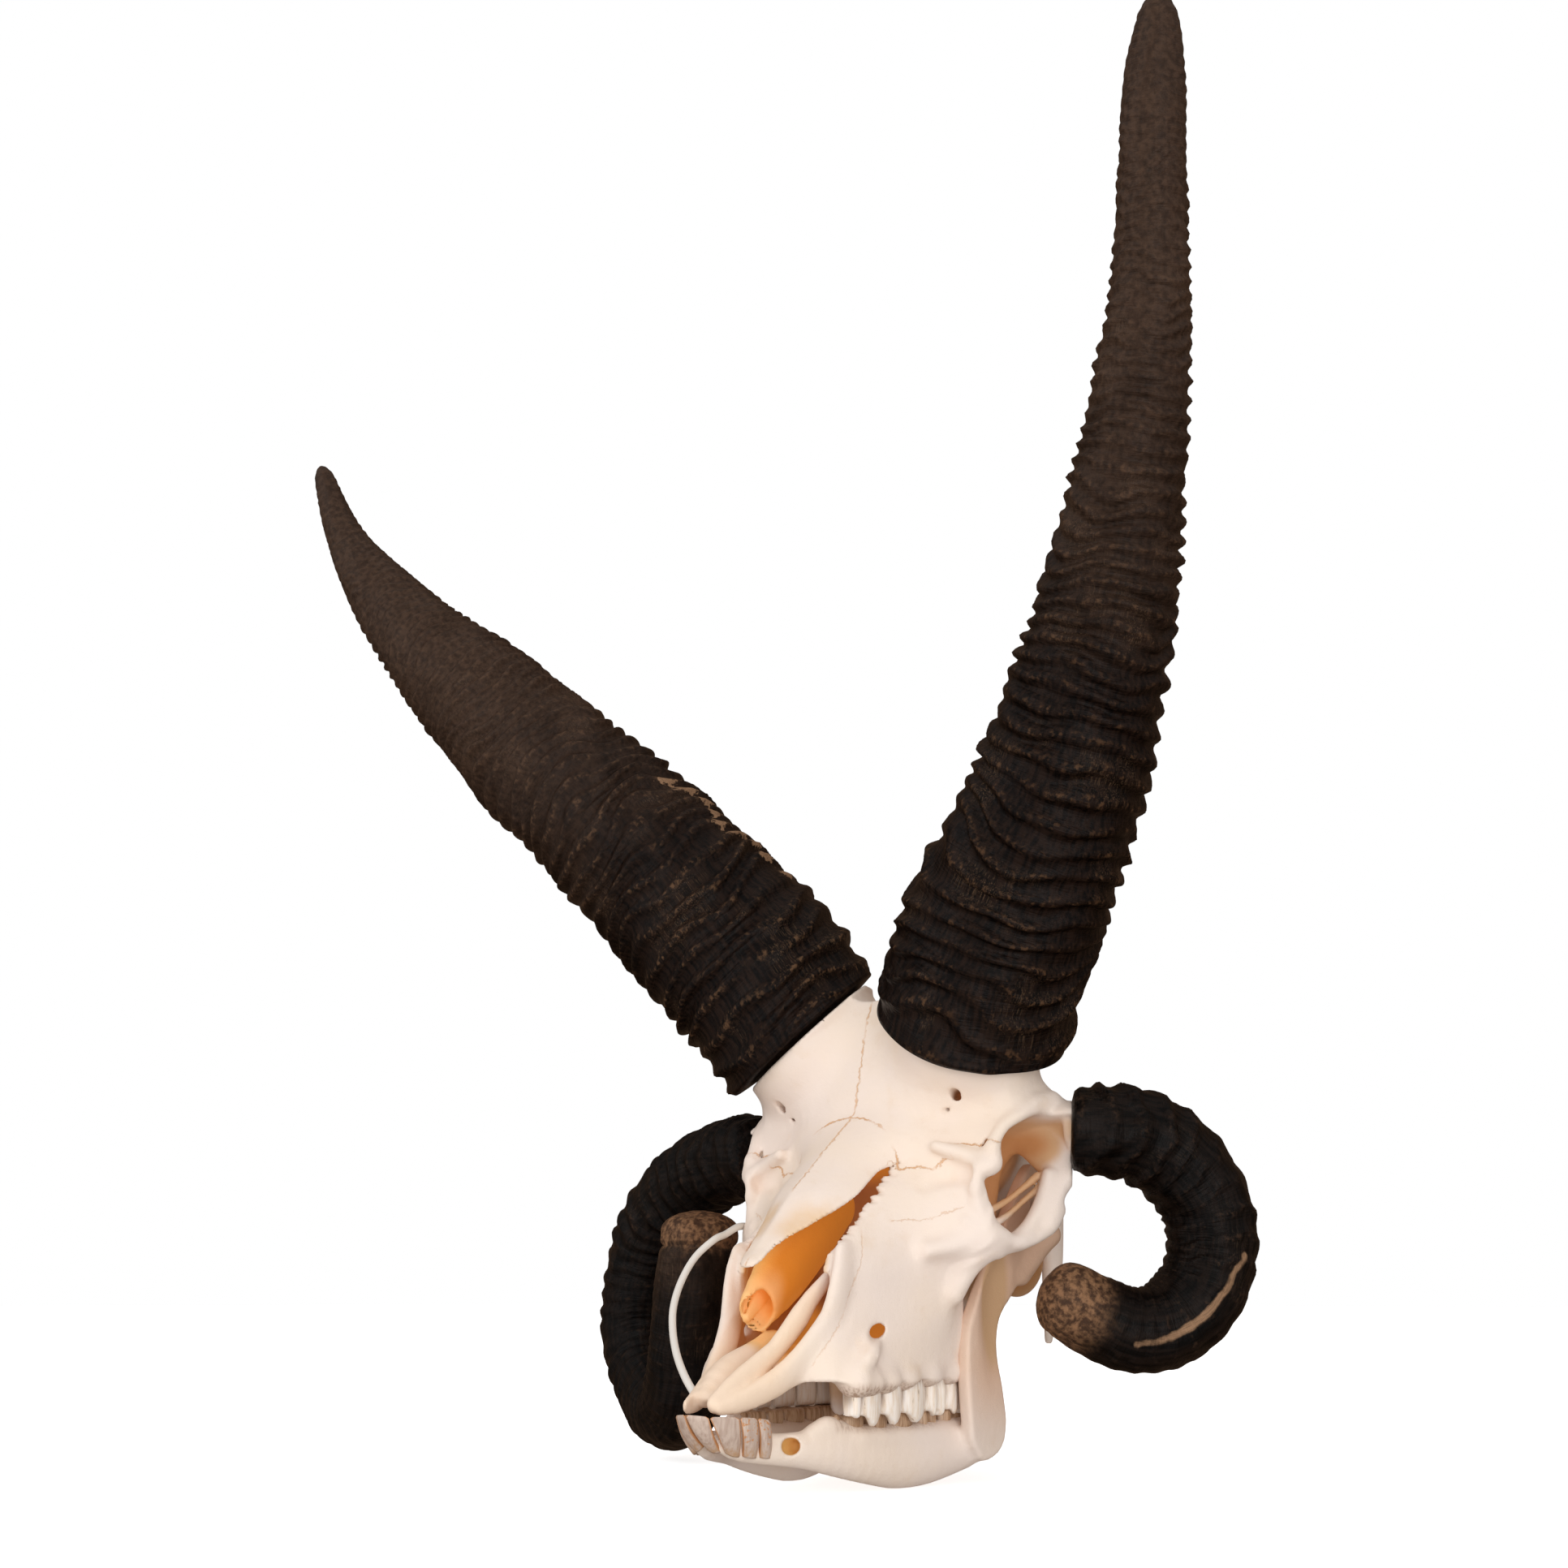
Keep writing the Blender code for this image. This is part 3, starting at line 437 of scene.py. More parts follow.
# SOCKET_SHADES grow nothing: they mark where the colour paints tan shade in the eye sockets.
SOCKET_SHADES = (((46, 36, 111), (20, 27, 22)), ((51, 34, 122.5), (23, 22, 14.5)))
BRAINCASE = (((0, 58, 129), (38, 46, 42)), ((0, 84, 119), (35, 30, 32)))
UPPER_PEDESTAL = (((24, 44, 132), (32, 30, 152), (42, 21, 175)), (21, 23.5, 34.5))
LOWER_PEDESTAL = (((48, 38, 138), (60, 41, 133), (68, 42, 129.5), (75.5, 41.2, 127.6)),
                  (14, 10.5, 9.6, 10.4))
UPPER_FOOT = np.array((40.5, 24, 169))
UPPER_FOOT_NORMAL = unit((0.51, -0.43, 0.745))
LOWER_FOOT = np.array((74.6, 39.6, 127.0))
LOWER_FOOT_NORMAL = unit((0.85, 0.52, -0.05))


# %% The horns' feet and the hollow nose
def foot_room(foot, normal, radius, reach):
    """The room of a horn's foot: everything within the radius of the horn's axis and
    beyond the plane of the foot. The distance is the larger of those to plane and tube."""

    def measure(x, y, z):
        x, y, z = x - foot[0], y - foot[1], z - foot[2]
        along = x * normal[0] + y * normal[1] + z * normal[2]
        across = np.sqrt(np.maximum(x * x + y * y + z * z - along * along, 0))
        return np.maximum(-along - GAP, across - radius)

    return measure, foot - radius - 4, foot + reach


def hollow_nose(face):
    """The nose's inside: within the drawn side outline, and deeper in than the wall."""
    outline, low, high = side_prism(NOSE_HOLLOW, -1, 30)
    outer = face[0]

    def measure(x, y, z):
        return np.maximum(outline(x, y, z), outer(x, y, z) + NASAL_WALL)

    return measure, low, high


# %% Main form, hollows and braincase
def model_head(clay):
    """The face with its hollows, and the braincase grown onto it."""
    face = face_shape(clay.step)
    clay.add(face, 0.5)
    clay.carve(hollow_nose(face), 1.0)
    clay.carve(side_prism(NOSE_OPENING, -1, 60), 1.8)
    clay.carve(side_prism(NOSE_FRONT, -1, 20), 2.0)
    random = np.random.default_rng(3)
    for place, size in zip(through(JAGGED_EDGE, 34), random.uniform(0.4, 1.1, 34)):
        clay.carve(lump(place + random.uniform(-0.7, 0.7, 3), (6, size, size)), 0.3)
    clay.carve(lump(*PALATE_HOLLOW), 4)
    clay.add(bar(*UPPER_PEDESTAL, count=6), 9)
    clay.add(bar(*LOWER_PEDESTAL), 7)
    clay.carve(lump(*SOCKET), 2)
    clay.carve(lump(*SOCKET_REAR), 3)
    for part in BRAINCASE:
        clay.add(lump(*part), 8)
    for part in SOCKET_SHADES:
        clay.shade(lump(*part))


# %% Rim of the eye socket and cheek arch
# Each bar has its points, radii, squeeze, and how soft its join is.
ROUND = (1, 1, 1)
SOCKET_BARS = (
    (((57.5, 13.5, 88), (54.5, 8, 92), (53.2, 4.8, 98), (53, 4, 105)),
     (3.0, 2.6, 2.2, 2.0), ROUND, 3),
    (((53, 4, 105), (53.5, 5, 111), (57, 8.5, 114), (57.5, 9.5, 119)),
     (2.0, 3.0, 3.2, 2.6), ROUND, 2.5),
    (((57, 9, 120), (57.8, 11.5, 124), (59.2, 15, 128.6), (62, 21, 132.4), (64, 29.5, 137),
      (65.5, 38.5, 138.5)), (2.2, 2.2, 2.2, 2.4, 3.0, 3.2), ROUND, 3),
    (((73, 42, 128.4), (74.5, 41.8, 128)), (9.5, 9.8), (3, 1.6, 1), 2),
    (((65.5, 38.5, 138.5), (68, 42, 133.5), (69.7, 43, 127), (69.5, 43, 120), (69, 42.5, 112),
      (66.4, 38.8, 102), (64.4, 35.5, 94)), (3.2, 2.4, 1.8, 1.4, 2.4, 2.8, 3.0), ROUND, 2.5),
    (((52, 40, 127), (60, 41, 121), (66, 43, 113)), (7, 8, 7), (1, 3, 1), 3),
    (((64, 38, 111), (62.6, 34.5, 101), (61, 29, 93), (59.5, 22, 87)), (2.9, 3, 3, 3), ROUND, 4),
    (((50, 1.5, 93.5), (53.2, 5, 91.4), (56.6, 9, 89.4), (58.3, 13.6, 87.4), (60, 18, 86),
      (61.8, 24, 86.4), (63.4, 30, 88.8), (65, 36.5, 92.6), (66.3, 40, 98)),
     (1.6, 2.0, 2.4, 2.4, 2.4, 2.4, 2.6, 3, 2.8), ROUND, 2.5),
    (((56, 15, 84), (58.5, 27, 87), (59, 38, 91), (55, 50, 95), (46, 64, 98), (35, 82, 102)),
     (3.0, 3.0, 3.2, 3.6, 4.0, 6), (1.3, 1, 1), 3),
    (((55, 11, 84), (49, 7, 77), (43, 5, 68)), (3, 3, 3), (1.2, 1, 1), 6),
    (((54, 8, 88), (47, -1, 85), (41, -9, 83)), (2.8, 2.4, 2.0), ROUND, 7),
    (((37, 2, 121), (46, 6.0, 118), (53, 8, 115), (57, 9.5, 114)), (2.0, 2.6, 2.8, 2.0), ROUND, 5),
    (((46, 20, 97), (50.5, 26, 100.5), (54.7, 31, 105), (59, 38, 111)),
     (1.7, 1.3, 1.2, 1.6), ROUND, 1.5),
    (((47, 22, 92), (51, 28, 96), (55.5, 34, 102), (60, 39, 107)),
     (1.8, 1.3, 1.2, 1.6), ROUND, 1.5),
)

# %% Snout: what counts as inside the nose, its outer strip and its floor
# NOSE_COVER grows nothing: it marks where the colour paints orange nose light.
NOSE_COVER = (((0, -82, 37), (0, -66, 50), (0, -52, 62), (0, -34, 77), (0, -12, 93), (0, 6, 102)),
              (6, 14, 20, 24, 24, 20))
OUTER_STRIP = (((24, -38.5, 81.5), (24.5, -40, 75), (24, -42, 67), (22.5, -45, 58), (19.5, -52, 49),
                (16.5, -60, 41.5), (13, -69, 36), (9.8, -79, 32), (7.2, -86, 30.4)),
               (4.4, 5.2, 5.4, 5.4, 5.4, 5.2, 4.6, 3.8, 2.8), (1.9, 1, 1), 14)
SNOUT_BARS = (
    (((0, -80, 32.5), (0, -66, 36.5), (0, -48, 41), (0, -26, 44), (0, -4, 48)),
     (4, 10, 17, 20, 21), (1, 1, 5), 3),
    (((32, -33, 50), (34.5, -37, 47), (34, -42, 42)), (2.5, 3, 2.5), ROUND, 5),
)
PALATE_SLIT = (((5.6, -88, 30), (7.2, -79, 34), (8.6, -70, 38)), (0.8, 1.3, 0.9), (1, 1, 0.3))
FACE_GROOVE = (((36.2, -4.4, 107.4), (41.5, 1.7, 110.6), (50.0, 4.4, 110.4)), (2.6, 3.2, 2.4))

# %% Underside and back of the head
BACK_BARS = (
    (((31, 10, 44), (31.5, 15, 54), (31, 15, 64)), (6, 7, 6), (1.4, 1, 1), 5),
    (((20, 18, 46), (17, 32, 52), (14, 46, 66), (13, 62, 84)), (8.5, 8, 8.5, 8), (2.4, 1, 1), 4),
    (((20, 19, 46), (20, 18, 38), (20, 17.5, 27.5)), (7, 6, 5), (2, 1, 1), 3),
    (((27, 100, 100), (28, 99, 82), (28, 97, 64), (27.5, 95, 50)), (7, 5.5, 4.2, 2), (1.4, 1, 1), 4),
    (((32, 94, 104), (29, 100, 118), (22, 106, 132), (12, 109, 141), (0, 110, 143)),
     (3.6,) * 5, ROUND, 6),
)
EAR_LUMP = ((24, 77, 82), (10, 14, 15.5))
# UNDERSIDE_SHADES grow nothing: they mark where the colour paints shade under the skull, under the
# cheek arch and behind the teeth.
UNDERSIDE_SHADES = (((28, 62, 80), (23, 34, 24)), ((51, 26, 74), (11, 22, 10)),
                    ((20, 18, 34), (8, 10, 12)))
TOOTH_LINE = ((-42, 37), (-35, 37.2), (-26, 37.7), (-15, 38.4), (0, 39.2), (15, 40))
TOOTH_BULGE = (6.5, 5.0, 4.5)
NECK_JOINT = ((14, 113, 99), (9, 11, 12))
NECK_HOLE = ((0, 122, 106), (9, 18, 9))

# Nerve holes: path, radii, and how soft the edge is.
HOLES = (
    (((41.8, 8, 141), (40.2, 15, 140), (37, 24, 141)), (2.0, 2.4, 2.2), 0.8),
    (((35.5, 9.5, 134), (38, 13.2, 137), (39.0, 16, 139)), (0.6, 1.3, 1.8), 1.0),
    (((35.5, -37, 52.5), (31, -29, 54.5), (27, -20, 57)), (1.9, 2.4, 2.4), 1.0),
    (((44, 50, 96), (30, 60, 95)), (3.2, 3.2), 1.0),
)


# %% Put the details of one side together
def model_details(clay):
    """Bars and plates, then small holes and the horns' feet, on one side."""
    for points, radii, squeeze, width in SOCKET_BARS + SNOUT_BARS + BACK_BARS:
        clay.add(bar(points, radii, squeeze, 12), width)
    clay.shade(bar(*NOSE_COVER))
    clay.add(bar(*OUTER_STRIP), 2.5)
    clay.bare(bar(*OUTER_STRIP))
    clay.add(lump(*EAR_LUMP), 5)
    for part in UNDERSIDE_SHADES:
        clay.shade(lump(*part))
    clay.add(lump(*NECK_JOINT), 4)
    clay.carve(lump(*NECK_HOLE), 2)
    clay.carve(bar(*FACE_GROOVE), 3)
    clay.carve(bar(*PALATE_SLIT), 0.6)
    for place, height in TOOTH_LINE:
        clay.add(lump((31, place, height), TOOTH_BULGE), 4)
    for points, radii, width in HOLES:
        clay.carve(bar(points, radii, count=5), width)
    clay.carve(foot_room(UPPER_FOOT, UPPER_FOOT_NORMAL, 42, 60), 0.8)
    clay.carve(foot_room(LOWER_FOOT, LOWER_FOOT_NORMAL, 20, 20), 0.8)


print("bars on each side:", len(SOCKET_BARS + SNOUT_BARS + BACK_BARS), "nerve holes:", len(HOLES))


# %% [markdown]
# ## Mirror the clay, then add what is on one side only
#
# Bone grows alike on both sides, so one block is enough until here. Of the curled bones
# inside the nose only the far one is left in this skull: a roll whose front end is open.
# The floor of the nose differs too: a pale ribbon of bone runs down it on the near side,
# and a broad shelf on the far side.

# %% Both halves of the cranium
def both_sides(half):
    """A block of clay with the mirror image of a half joined to it at the midline."""
    whole = Clay(half.low, half.low, half.step)
    whole.axes = [np.concatenate((-half.axes[0][::-1], half.axes[0])), *half.axes[1:]]
    whole.low = np.array([axis[0] for axis in whole.axes], float)
    whole.skin = np.concatenate((half.skin[::-1], half.skin))
    whole.hull = np.concatenate((half.hull[::-1], half.hull))
    return whole


# %% Inside of the nose: the roll with its mouth, notch and inner curl, ribbon and shelf
ROLL = (((-6.5, -49.5, 63), (-8, -34, 75), (-9, -16, 89), (-9, 2, 100)),
        (8.5, 12, 12.5, 9), (1.7, 1, 1))
ROLL_MOUTH = (((-1, -60, 55), (-6.5, -49.5, 63), (-8.5, -38, 72)), (6.4, 6.8, 4.5), (1.7, 1, 1))
ROLL_NOTCH = (((2, -57, 72), (-1.5, -51.5, 67.5), (-3, -47, 60)), (3, 3, 3))
INNER_CURL = (((-8, -53, 59.5), (-9.5, -45, 66), (-11.5, -34, 75)), (2.0, 3.4, 3.6), (2.6, 1, 1))
NEAR_RIBBON = (((16.5, -33, 76.1), (14, -42.4, 67.8), (12.8, -48.2, 61.2), (11.6, -54.4, 54.6),
                (10.2, -61, 48.2), (7.8, -71.4, 41.2), (6, -80, 35.4), (5, -87, 31.4)),
               (2.6, 3.2, 4.3, 4.2, 3.8, 4.4, 4.4, 3.2), (1.6, 1, 1))
FAR_SHELF = (((-5, -42, 50), (-6, -54, 44.5), (-6.5, -63, 41), (-6, -71, 37.2), (-5, -79, 33)),
             (5, 6, 6.5, 6, 3.5))
PALE_SHELF = (((-6.5, -63, 41), (-6, -71, 37), (-5, -80, 32.5)), (7.5, 7, 5))


# %% Put the head together
def model_nose(clay):
    """What differs between the two sides of the nose."""
    clay.add(bar(*ROLL), 1)
    clay.carve(bar(*ROLL_MOUTH), 0.5)
    clay.carve(bar(*ROLL_NOTCH), 1.0)
    clay.add(bar(*INNER_CURL), 0.6)
    clay.add(bar(*FAR_SHELF), 2.5)
    clay.add(bar(*NEAR_RIBBON), 1.6)
    clay.bare(bar(*NEAR_RIBBON))
    clay.bare(bar(*PALE_SHELF))


half_head = Clay((STEP / 2, -110, 20), (92, 128, 190), STEP)
model_head(half_head)
model_details(half_head)
head = both_sides(half_head)
model_nose(head)
print("block of clay:", head.skin.shape, "solid share:", round(float((head.skin < 0).mean()), 3))


# %% [markdown]
# ## Seams between the bones
#
# A skull is a puzzle of bones that meet in fine zigzag seams. They are drawn by the
# material, so each point needs to know on which side of a seam it lies and how far off.
# The distance has a sign, because a value that passes through zero gives a line that is
# much finer than the mesh.

# %% Lines of the seams
SEAMS = {
    "seam_brow": ((0, 0, 133), (8, 0, 131), (16, 1, 124), (22, -2, 114), (24, -4, 112.9),
                  (30, 0, 113.5), (35.3, 2.1, 112.8), (39, 5, 116.5), (42.2, 7.9, 120),
                  (47.6, 9.5, 121), (57, 10.9, 120.4)),
    "seam_snout": ((27, -31, 88), (28.5, -33, 82), (29, -36, 74), (27.5, -41, 63), (25, -46.5, 54),
                   (22, -52, 46)),
    "seam_cheek": ((31, -14, 93), (37.6, -7.3, 93.8), (41.9, -3, 95.6), (45.8, -0.2, 97.3)),
}


# %% What a point knows about a seam
def seam_values(points, normals, line):
    """Three values at each point: the signed distance across the line, measured within the
    skin, the plain distance, and the number of the nearest of 60 places along the line.
    Points on the far side are mirrored onto the near one first."""
    side = np.where(points[:, 0] < 0, -1.0, 1.0)[:, None] * (1, 0, 0) + (0, 1, 1)
    points, normals = points * side, normals * side
    line = through(line, 60)
    values = np.full((len(points), 3), 9.0)
    box = (points > line.min(0) - 7).all(1) & (points < line.max(0) + 7).all(1)
    points, normals = points[box], normals[box]
    away = np.linalg.norm(points[:, None] - line[None], axis=2)
    near = away.argmin(1)
    ahead = unit(np.gradient(line, axis=0))[near]
    across = unit(np.cross(ahead, normals))
    values[box, 0] = ((points - line[near]) * across).sum(1)
    values[box, 1] = away.min(1)
    values[box, 2] = near
    return values


for name, line in SEAMS.items():
    print(name, round(np.linalg.norm(np.diff(line, axis=0), axis=1).sum()), "mm long")


# %% From clay to points and triangles
def thinned(points, quads, wanted):
    """The net with about the wanted number of triangles: Decimate collapses the edges whose
    loss changes the form least, so fine edges keep their triangles."""
    rough = to_piece("rough_skin", points, quads)
    modifier = rough.modifiers.new("thin", "DECIMATE")
    modifier.ratio = wanted / (2 * len(quads))
    modifier.use_collapse_triangulate = True
    result = rough.evaluated_get(bpy.context.evaluated_depsgraph_get()).to_mesh()
    places = np.empty(3 * len(result.vertices), np.float32)
    corners = np.empty(3 * len(result.polygons), np.int32)
    result.vertices.foreach_get("co", places)
    result.polygons.foreach_get("vertices", corners)
    bpy.data.objects.remove(rough)
    return places.reshape(-1, 3).astype(float) / MM - ORIGIN, corners.reshape(-1, 3)


def skin_of(clay, wanted):
    """Points, triangles, unit normals and depth under the uncarved form, for a block of clay."""
    points, quads = draw_skin(clay.skin, clay.low, clay.step)
    slopes = np.gradient(clay.skin, clay.step)
    points, _ = settle(points, clay.skin, clay.low, clay.step, slopes)
    points, triangles = thinned(points, quads, wanted)
    _, normals = settle(points, clay.skin, clay.low, clay.step, slopes, 1)
    return points, triangles, normals, -read_field(clay.hull, clay.low, clay.step, points)


# %% Make the cranium
SKULL_TRIANGLES = 190000
points, triangles, normals, depth = skin_of(head, SKULL_TRIANGLES)
values = {name: seam_values(points, normals, line) for name, line in SEAMS.items()}
cranium = to_piece("skull_bone", points, (), {"depth": depth, **values}, triangles)


# %% [markdown]
# ## The lower jaw
#
# Each half of the jaw is a bar that holds the teeth and a thin upright plate behind it,
# with a hook for the chewing muscle and a small head that turns under the cheek arch.
# The two halves meet at the chin with a hair's gap. They are made of clay too, in a
# finer block.

# %% Shapes of one jaw half
JAW_STEP = 0.72
JAW_BODY = (
    (3.4, -87, 19.9, 1.6), (4.8, -82, 18.3, 3.4), (6.8, -76, 17.1, 4.7), (9.4, -69, 16.4, 5.2),
    (13, -62, 15.7, 5.4), (17, -52, 15.2, 6.4), (20, -40, 14.0, 8.0), (22.5, -25, 12.4, 9.6),
    (24.2, -8, 10.8, 10.8), (26.2, 5, 11.2, 10.6), (28, 15, 12.4, 10.0), (30.5, 25, 14.4, 9.4),
)
JAW_PLATE = (
    (24, 9), (18, 15), (15.5, 24), (14, 40), (15, 55), (21, 68), (29, 80), (35, 92), (43, 104),
    (52, 115), (57, 117), (59, 113), (55, 104), (55, 95), (60, 92), (70, 94), (71, 88), (59, 79),
    (47, 70), (39.5, 60), (36.5, 50), (36.5, 41), (38.5, 32), (40.5, 22), (40, 14.5),
    (36.5, 10.5), (31.5, 8.5), (27, 8),
)
JAW_PLATE_MIDDLE = ((0, 36.2), (22, 38.6), (55, 39.2), (80, 41.5), (117, 44.5))
JAW_RIDGES = (
    (((19, -50, 21.5), (21, -45, 23), (23, -36, 20.5)), (2.4, 3.4, 3.2), (1.2, 1, 1)),
    (((24, -30, 19), (26.5, -6, 18.5), (29, 18, 18.5)), (4.6, 5.0, 4.6), (1.1, 1, 1.5)),
)
JAW_NECK = (((42, 52, 74), (44, 60, 84), (46.5, 66, 90)), (3.0, 4.0, 4.5))
JAW_JOINT = (((38, 67, 91), (42, 66.5, 91.5), (46, 66, 90)), (3.2, 3.8, 3.2))
CHEWING_HOLLOW = ((46, 32, 60), (5.5, 10, 26))
CHIN_HOLE = (((19.5, -64.5, 17), (17, -60.5, 17), (15.6, -56, 16.5)), (2.7, 2.9, 2.0))


# %% A plate that leans
def leaning_plate(corners, middle, half, rounding=1.6):
    """A plate with a drawn side outline whose middle leans with height. Outside its core,
    the distance is the root of the squared distances to the outline and to its faces, less
    the rounding."""
    corners = through(corners + corners[:1], 90)[:-1]
    heights, places = np.array(middle, float).T

    def measure(x, y, z):
        flat = outline_distance(y, z, corners) + rounding
        thick = np.abs(x - np.interp(z, heights, places)) - half + rounding
        outside = np.sqrt(np.maximum(flat, 0)**2 + np.maximum(thick, 0)**2)
        return outside + np.minimum(np.maximum(flat, thick), 0) - rounding

    low, high = corners.min(0), corners.max(0)
    return measure, np.array((places.min() - half, *low)), np.array((places.max() + half, *high))


# %% Make the two jaw halves
def model_jaw(clay):
    """One jaw half: body, ridges under the teeth, upright plate, neck and joint, then the
    hollows, and flat cuts at the table and between the halves."""
    body = np.array(JAW_BODY, float)
    clay.add(bar(body[:, :3], body[:, 3], (1.42, 1, 1), 26), 1)
    for ridge in JAW_RIDGES:
        clay.add(bar(*ridge), 4)
    clay.add(leaning_plate(JAW_PLATE, JAW_PLATE_MIDDLE, 2.7), 3)
    clay.add(bar(*JAW_NECK), 5)
    clay.add(bar(*JAW_JOINT), 3)
    clay.carve(lump(*CHEWING_HOLLOW), 4)
    clay.carve(bar(*CHIN_HOLE), 0.8)
    for top, outer, width in ((0, 90, 0.6), (60, GAP / 2, 0.8)):
        clay.carve(side_prism(((-120, -30), (90, -30), (90, top), (-120, top)), -20, outer), width)


JAW_TRIANGLES = 56000
jaw_clay = Clay((-3, -93, -6), (58, 76, 122), JAW_STEP)
model_jaw(jaw_clay)
points, triangles, normals, depth = skin_of(jaw_clay, JAW_TRIANGLES)
jaw_left = to_piece("jaw_bone_left", points, (), {"depth": depth}, triangles)
jaw_right = to_piece("jaw_bone_right", points * (-1, 1, 1), (), {"depth": depth}, triangles[:, ::-1])


# %% [markdown]
# ## Horns
#
# A horn is a sheath that grows from its base, ring after ring, so its surface is a closed
# ring of points carried along a path. Broad ridges run round it, wider apart than the
# fine growth lines between them, and none of them is quite level. Sums of a few waves,
# with phases from a seeded generator, give this unevenness and repeat it on every run.
# The far tall horn has a cracked pale patch and the near curled horn a scraped band, so
# each point also keeps its distance from a line drawn along that place.

# %% Uneven waves and the frame of a ring
def uneven(seed, angle, along, turns, lengths, count=7):
    """Smooth noise round and along a horn: the mean of waves with up to the given number of
    turns round the horn and with lengths along it between the two given ones."""
    random = np.random.default_rng(seed)
    total = 0.0
    for _ in range(count):
        round_it = random.integers(-turns, turns + 1)
        pace = 2 * np.pi / random.uniform(*lengths)
        total = total + np.sin(round_it * angle + pace * along + random.uniform(0, 6.283))
    return total / count**0.5


def rings_along(path, base_normal, width_axis, lean_share):
    """Directions across and up in each ring: the ring's normal turns from that of the base
    to that of the path over the first part, and the width axis is laid into its plane."""
    ahead = unit(np.gradient(path, axis=0))
    lean = np.clip(1 - np.linspace(0, 1, len(path)) / lean_share, 0, 1)[:, None]
    normal = unit(ahead * (1 - lean) + unit(base_normal) * lean)
    across = unit(width_axis - normal * (normal @ unit(width_axis))[:, None])
    return across, np.cross(normal, across)


# %% Surface of a horn
def rounded_end(along, length, blunt):
    """A factor for the radius that closes both ends: the quarter circle root of 1 - (1 - t)
    squared, with t the distance from the end over the size of the rounding."""
    t = np.clip(np.minimum(along / 1.5 + 0.35, (length - along) / blunt + 0.02), 0, 1)
    return np.sqrt(1 - (1 - t)**2)


def horn(name, knots, base_normal, width_axis, depths, ridges, seed, groove=None, marked=None):
    """A horn through knots of place and radius. At arc length s and angle a, the surface is
    the path's point plus the ring's two directions times R cos a and d R sin a, with d the
    depth there. R is the blended radius, plus a ridge that is a raised cosine of s over the
    pitch, shifted by uneven waves, plus growth lines and dents. The ridges fade towards the
    tip. A groove may run round at a distance from it."""
    pitch, height, fade, blunt = ridges
    knots = np.array(knots, float)
    length = np.linalg.norm(np.diff(through(knots[:, :3], 200), axis=0), axis=1).sum()
    count = int(length / RING_STEP)
    rows = through(knots, count)
    path, size = rows[:, :3], rows[:, 3:]
    share = np.linspace(0, 1, count)[:, None]
    along = share * length
    depth = np.interp(share, np.linspace(0, 1, len(depths)), depths)
    angle = np.linspace(0, 2 * np.pi, HORN_SIDES, endpoint=False)[None]
    shift = 0.42 * uneven(seed, angle, along, 3, (60, 200))
    shift = shift + 0.14 * uneven(seed + 1, angle, along, 9, (25, 60))
    pace = along / (pitch * (1 - 0.35 * share))
    crest = (0.5 + 0.5 * np.cos(2 * np.pi * (pace + shift)))**1.2
    split = (0.5 + 0.5 * np.cos(2 * np.pi * (2.03 * pace + 1.7 * shift)))**2
    strength = np.clip((1 - share) * fade, 0.1, 1) * np.clip(along / 4, 0.2, 1)
    strength = strength * (1 + 0.35 * uneven(seed + 4, angle, along, 4, (20, 60)))
    lift = strength * height * (1.7 * crest - 0.7 + 0.3 * split)
    lift = lift + 0.09 * (0.5 + strength) * uneven(seed + 2, angle, along, 4, (2.6, 6), 9)
    lift = lift + 0.4 * uneven(seed + 3, angle, along, 6, (18, 70)) * np.clip(size / 15, 0.3, 1)
    if groove:
        lift = lift - 1.3 * np.exp(-((length - along - groove) / 1.1)**2)
    reach = (size + lift) * rounded_end(along, length, blunt)
    across, up = rings_along(path, base_normal, width_axis, 0.2)
    grid = (path[:, None] + across[:, None] * (reach * np.cos(angle))[..., None]
            + up[:, None] * (reach * depth * np.sin(angle))[..., None])
    grain = np.stack(np.broadcast_arrays(reach * np.cos(angle), reach * np.sin(angle), along), 2)
    mark = np.full(grid.shape[:2], 99.0)
    if marked:
        mark = np.linalg.norm(grid[:, :, None] - through(marked, 40), axis=3).min(2)
    kept = {"grain": grain, "crest": crest, "share": share + 0 * angle, "mark": mark}
    return closed_tube(name, grid, kept)


# %% The two tall horns
RING_STEP = 1.15
HORN_SIDES = 168
TALL_LEFT = (
    (40, 24, 168, 37), (55.5, 18, 199, 37.5), (76, 12, 228, 34.5), (95, 5.5, 256, 31.5),
    (110, -1, 285, 28.5), (123.5, -7, 314, 25.2), (134.5, -13, 344, 21.8), (144.5, -19, 374, 18.6),
    (153.5, -25, 404, 16), (160.5, -31.5, 435, 13.2), (166, -38, 466, 12.2), (172, -44, 498, 10.6),
    (178, -50, 523, 5.5),
)
TALL_RIGHT = (
    (-41, 24, 170, 37.5), (-61, 17, 198, 39), (-84, 9, 223, 37.5), (-108, 2, 249, 36),
    (-133.5, -5.5, 275, 34.2), (-162, -13, 301, 32), (-190.5, -20, 330, 28.5),
    (-220.5, -28, 359, 22.8), (-249, -35, 391, 16), (-272, -42.5, 426, 9), (-283.5, -50, 462, 4),
)
TALL_RIDGES = (10.5, 1.45, 1.7, 9.0)  # pitch, height, fade, size of the tip's rounding
TALL_AXIS = (0.79, 0.62, 0)
TALL_DEPTHS = (0.92, 0.92)
MIRROR = np.array((-1, 1, 1))
PALE_PATCH = ((-91.8, -8.1, 280), (-86.1, 2.6, 275.9), (-79.6, 6.6, 269.4), (-68.7, 3.2, 257.9),
              (-66.6, 15.8, 255.3), (-54.5, 15.3, 247.4), (-47.1, 21.4, 238.4))
horn_tall_left = horn("tall_horn_left", TALL_LEFT, UPPER_FOOT_NORMAL, TALL_AXIS, TALL_DEPTHS,
                      TALL_RIDGES, 11)
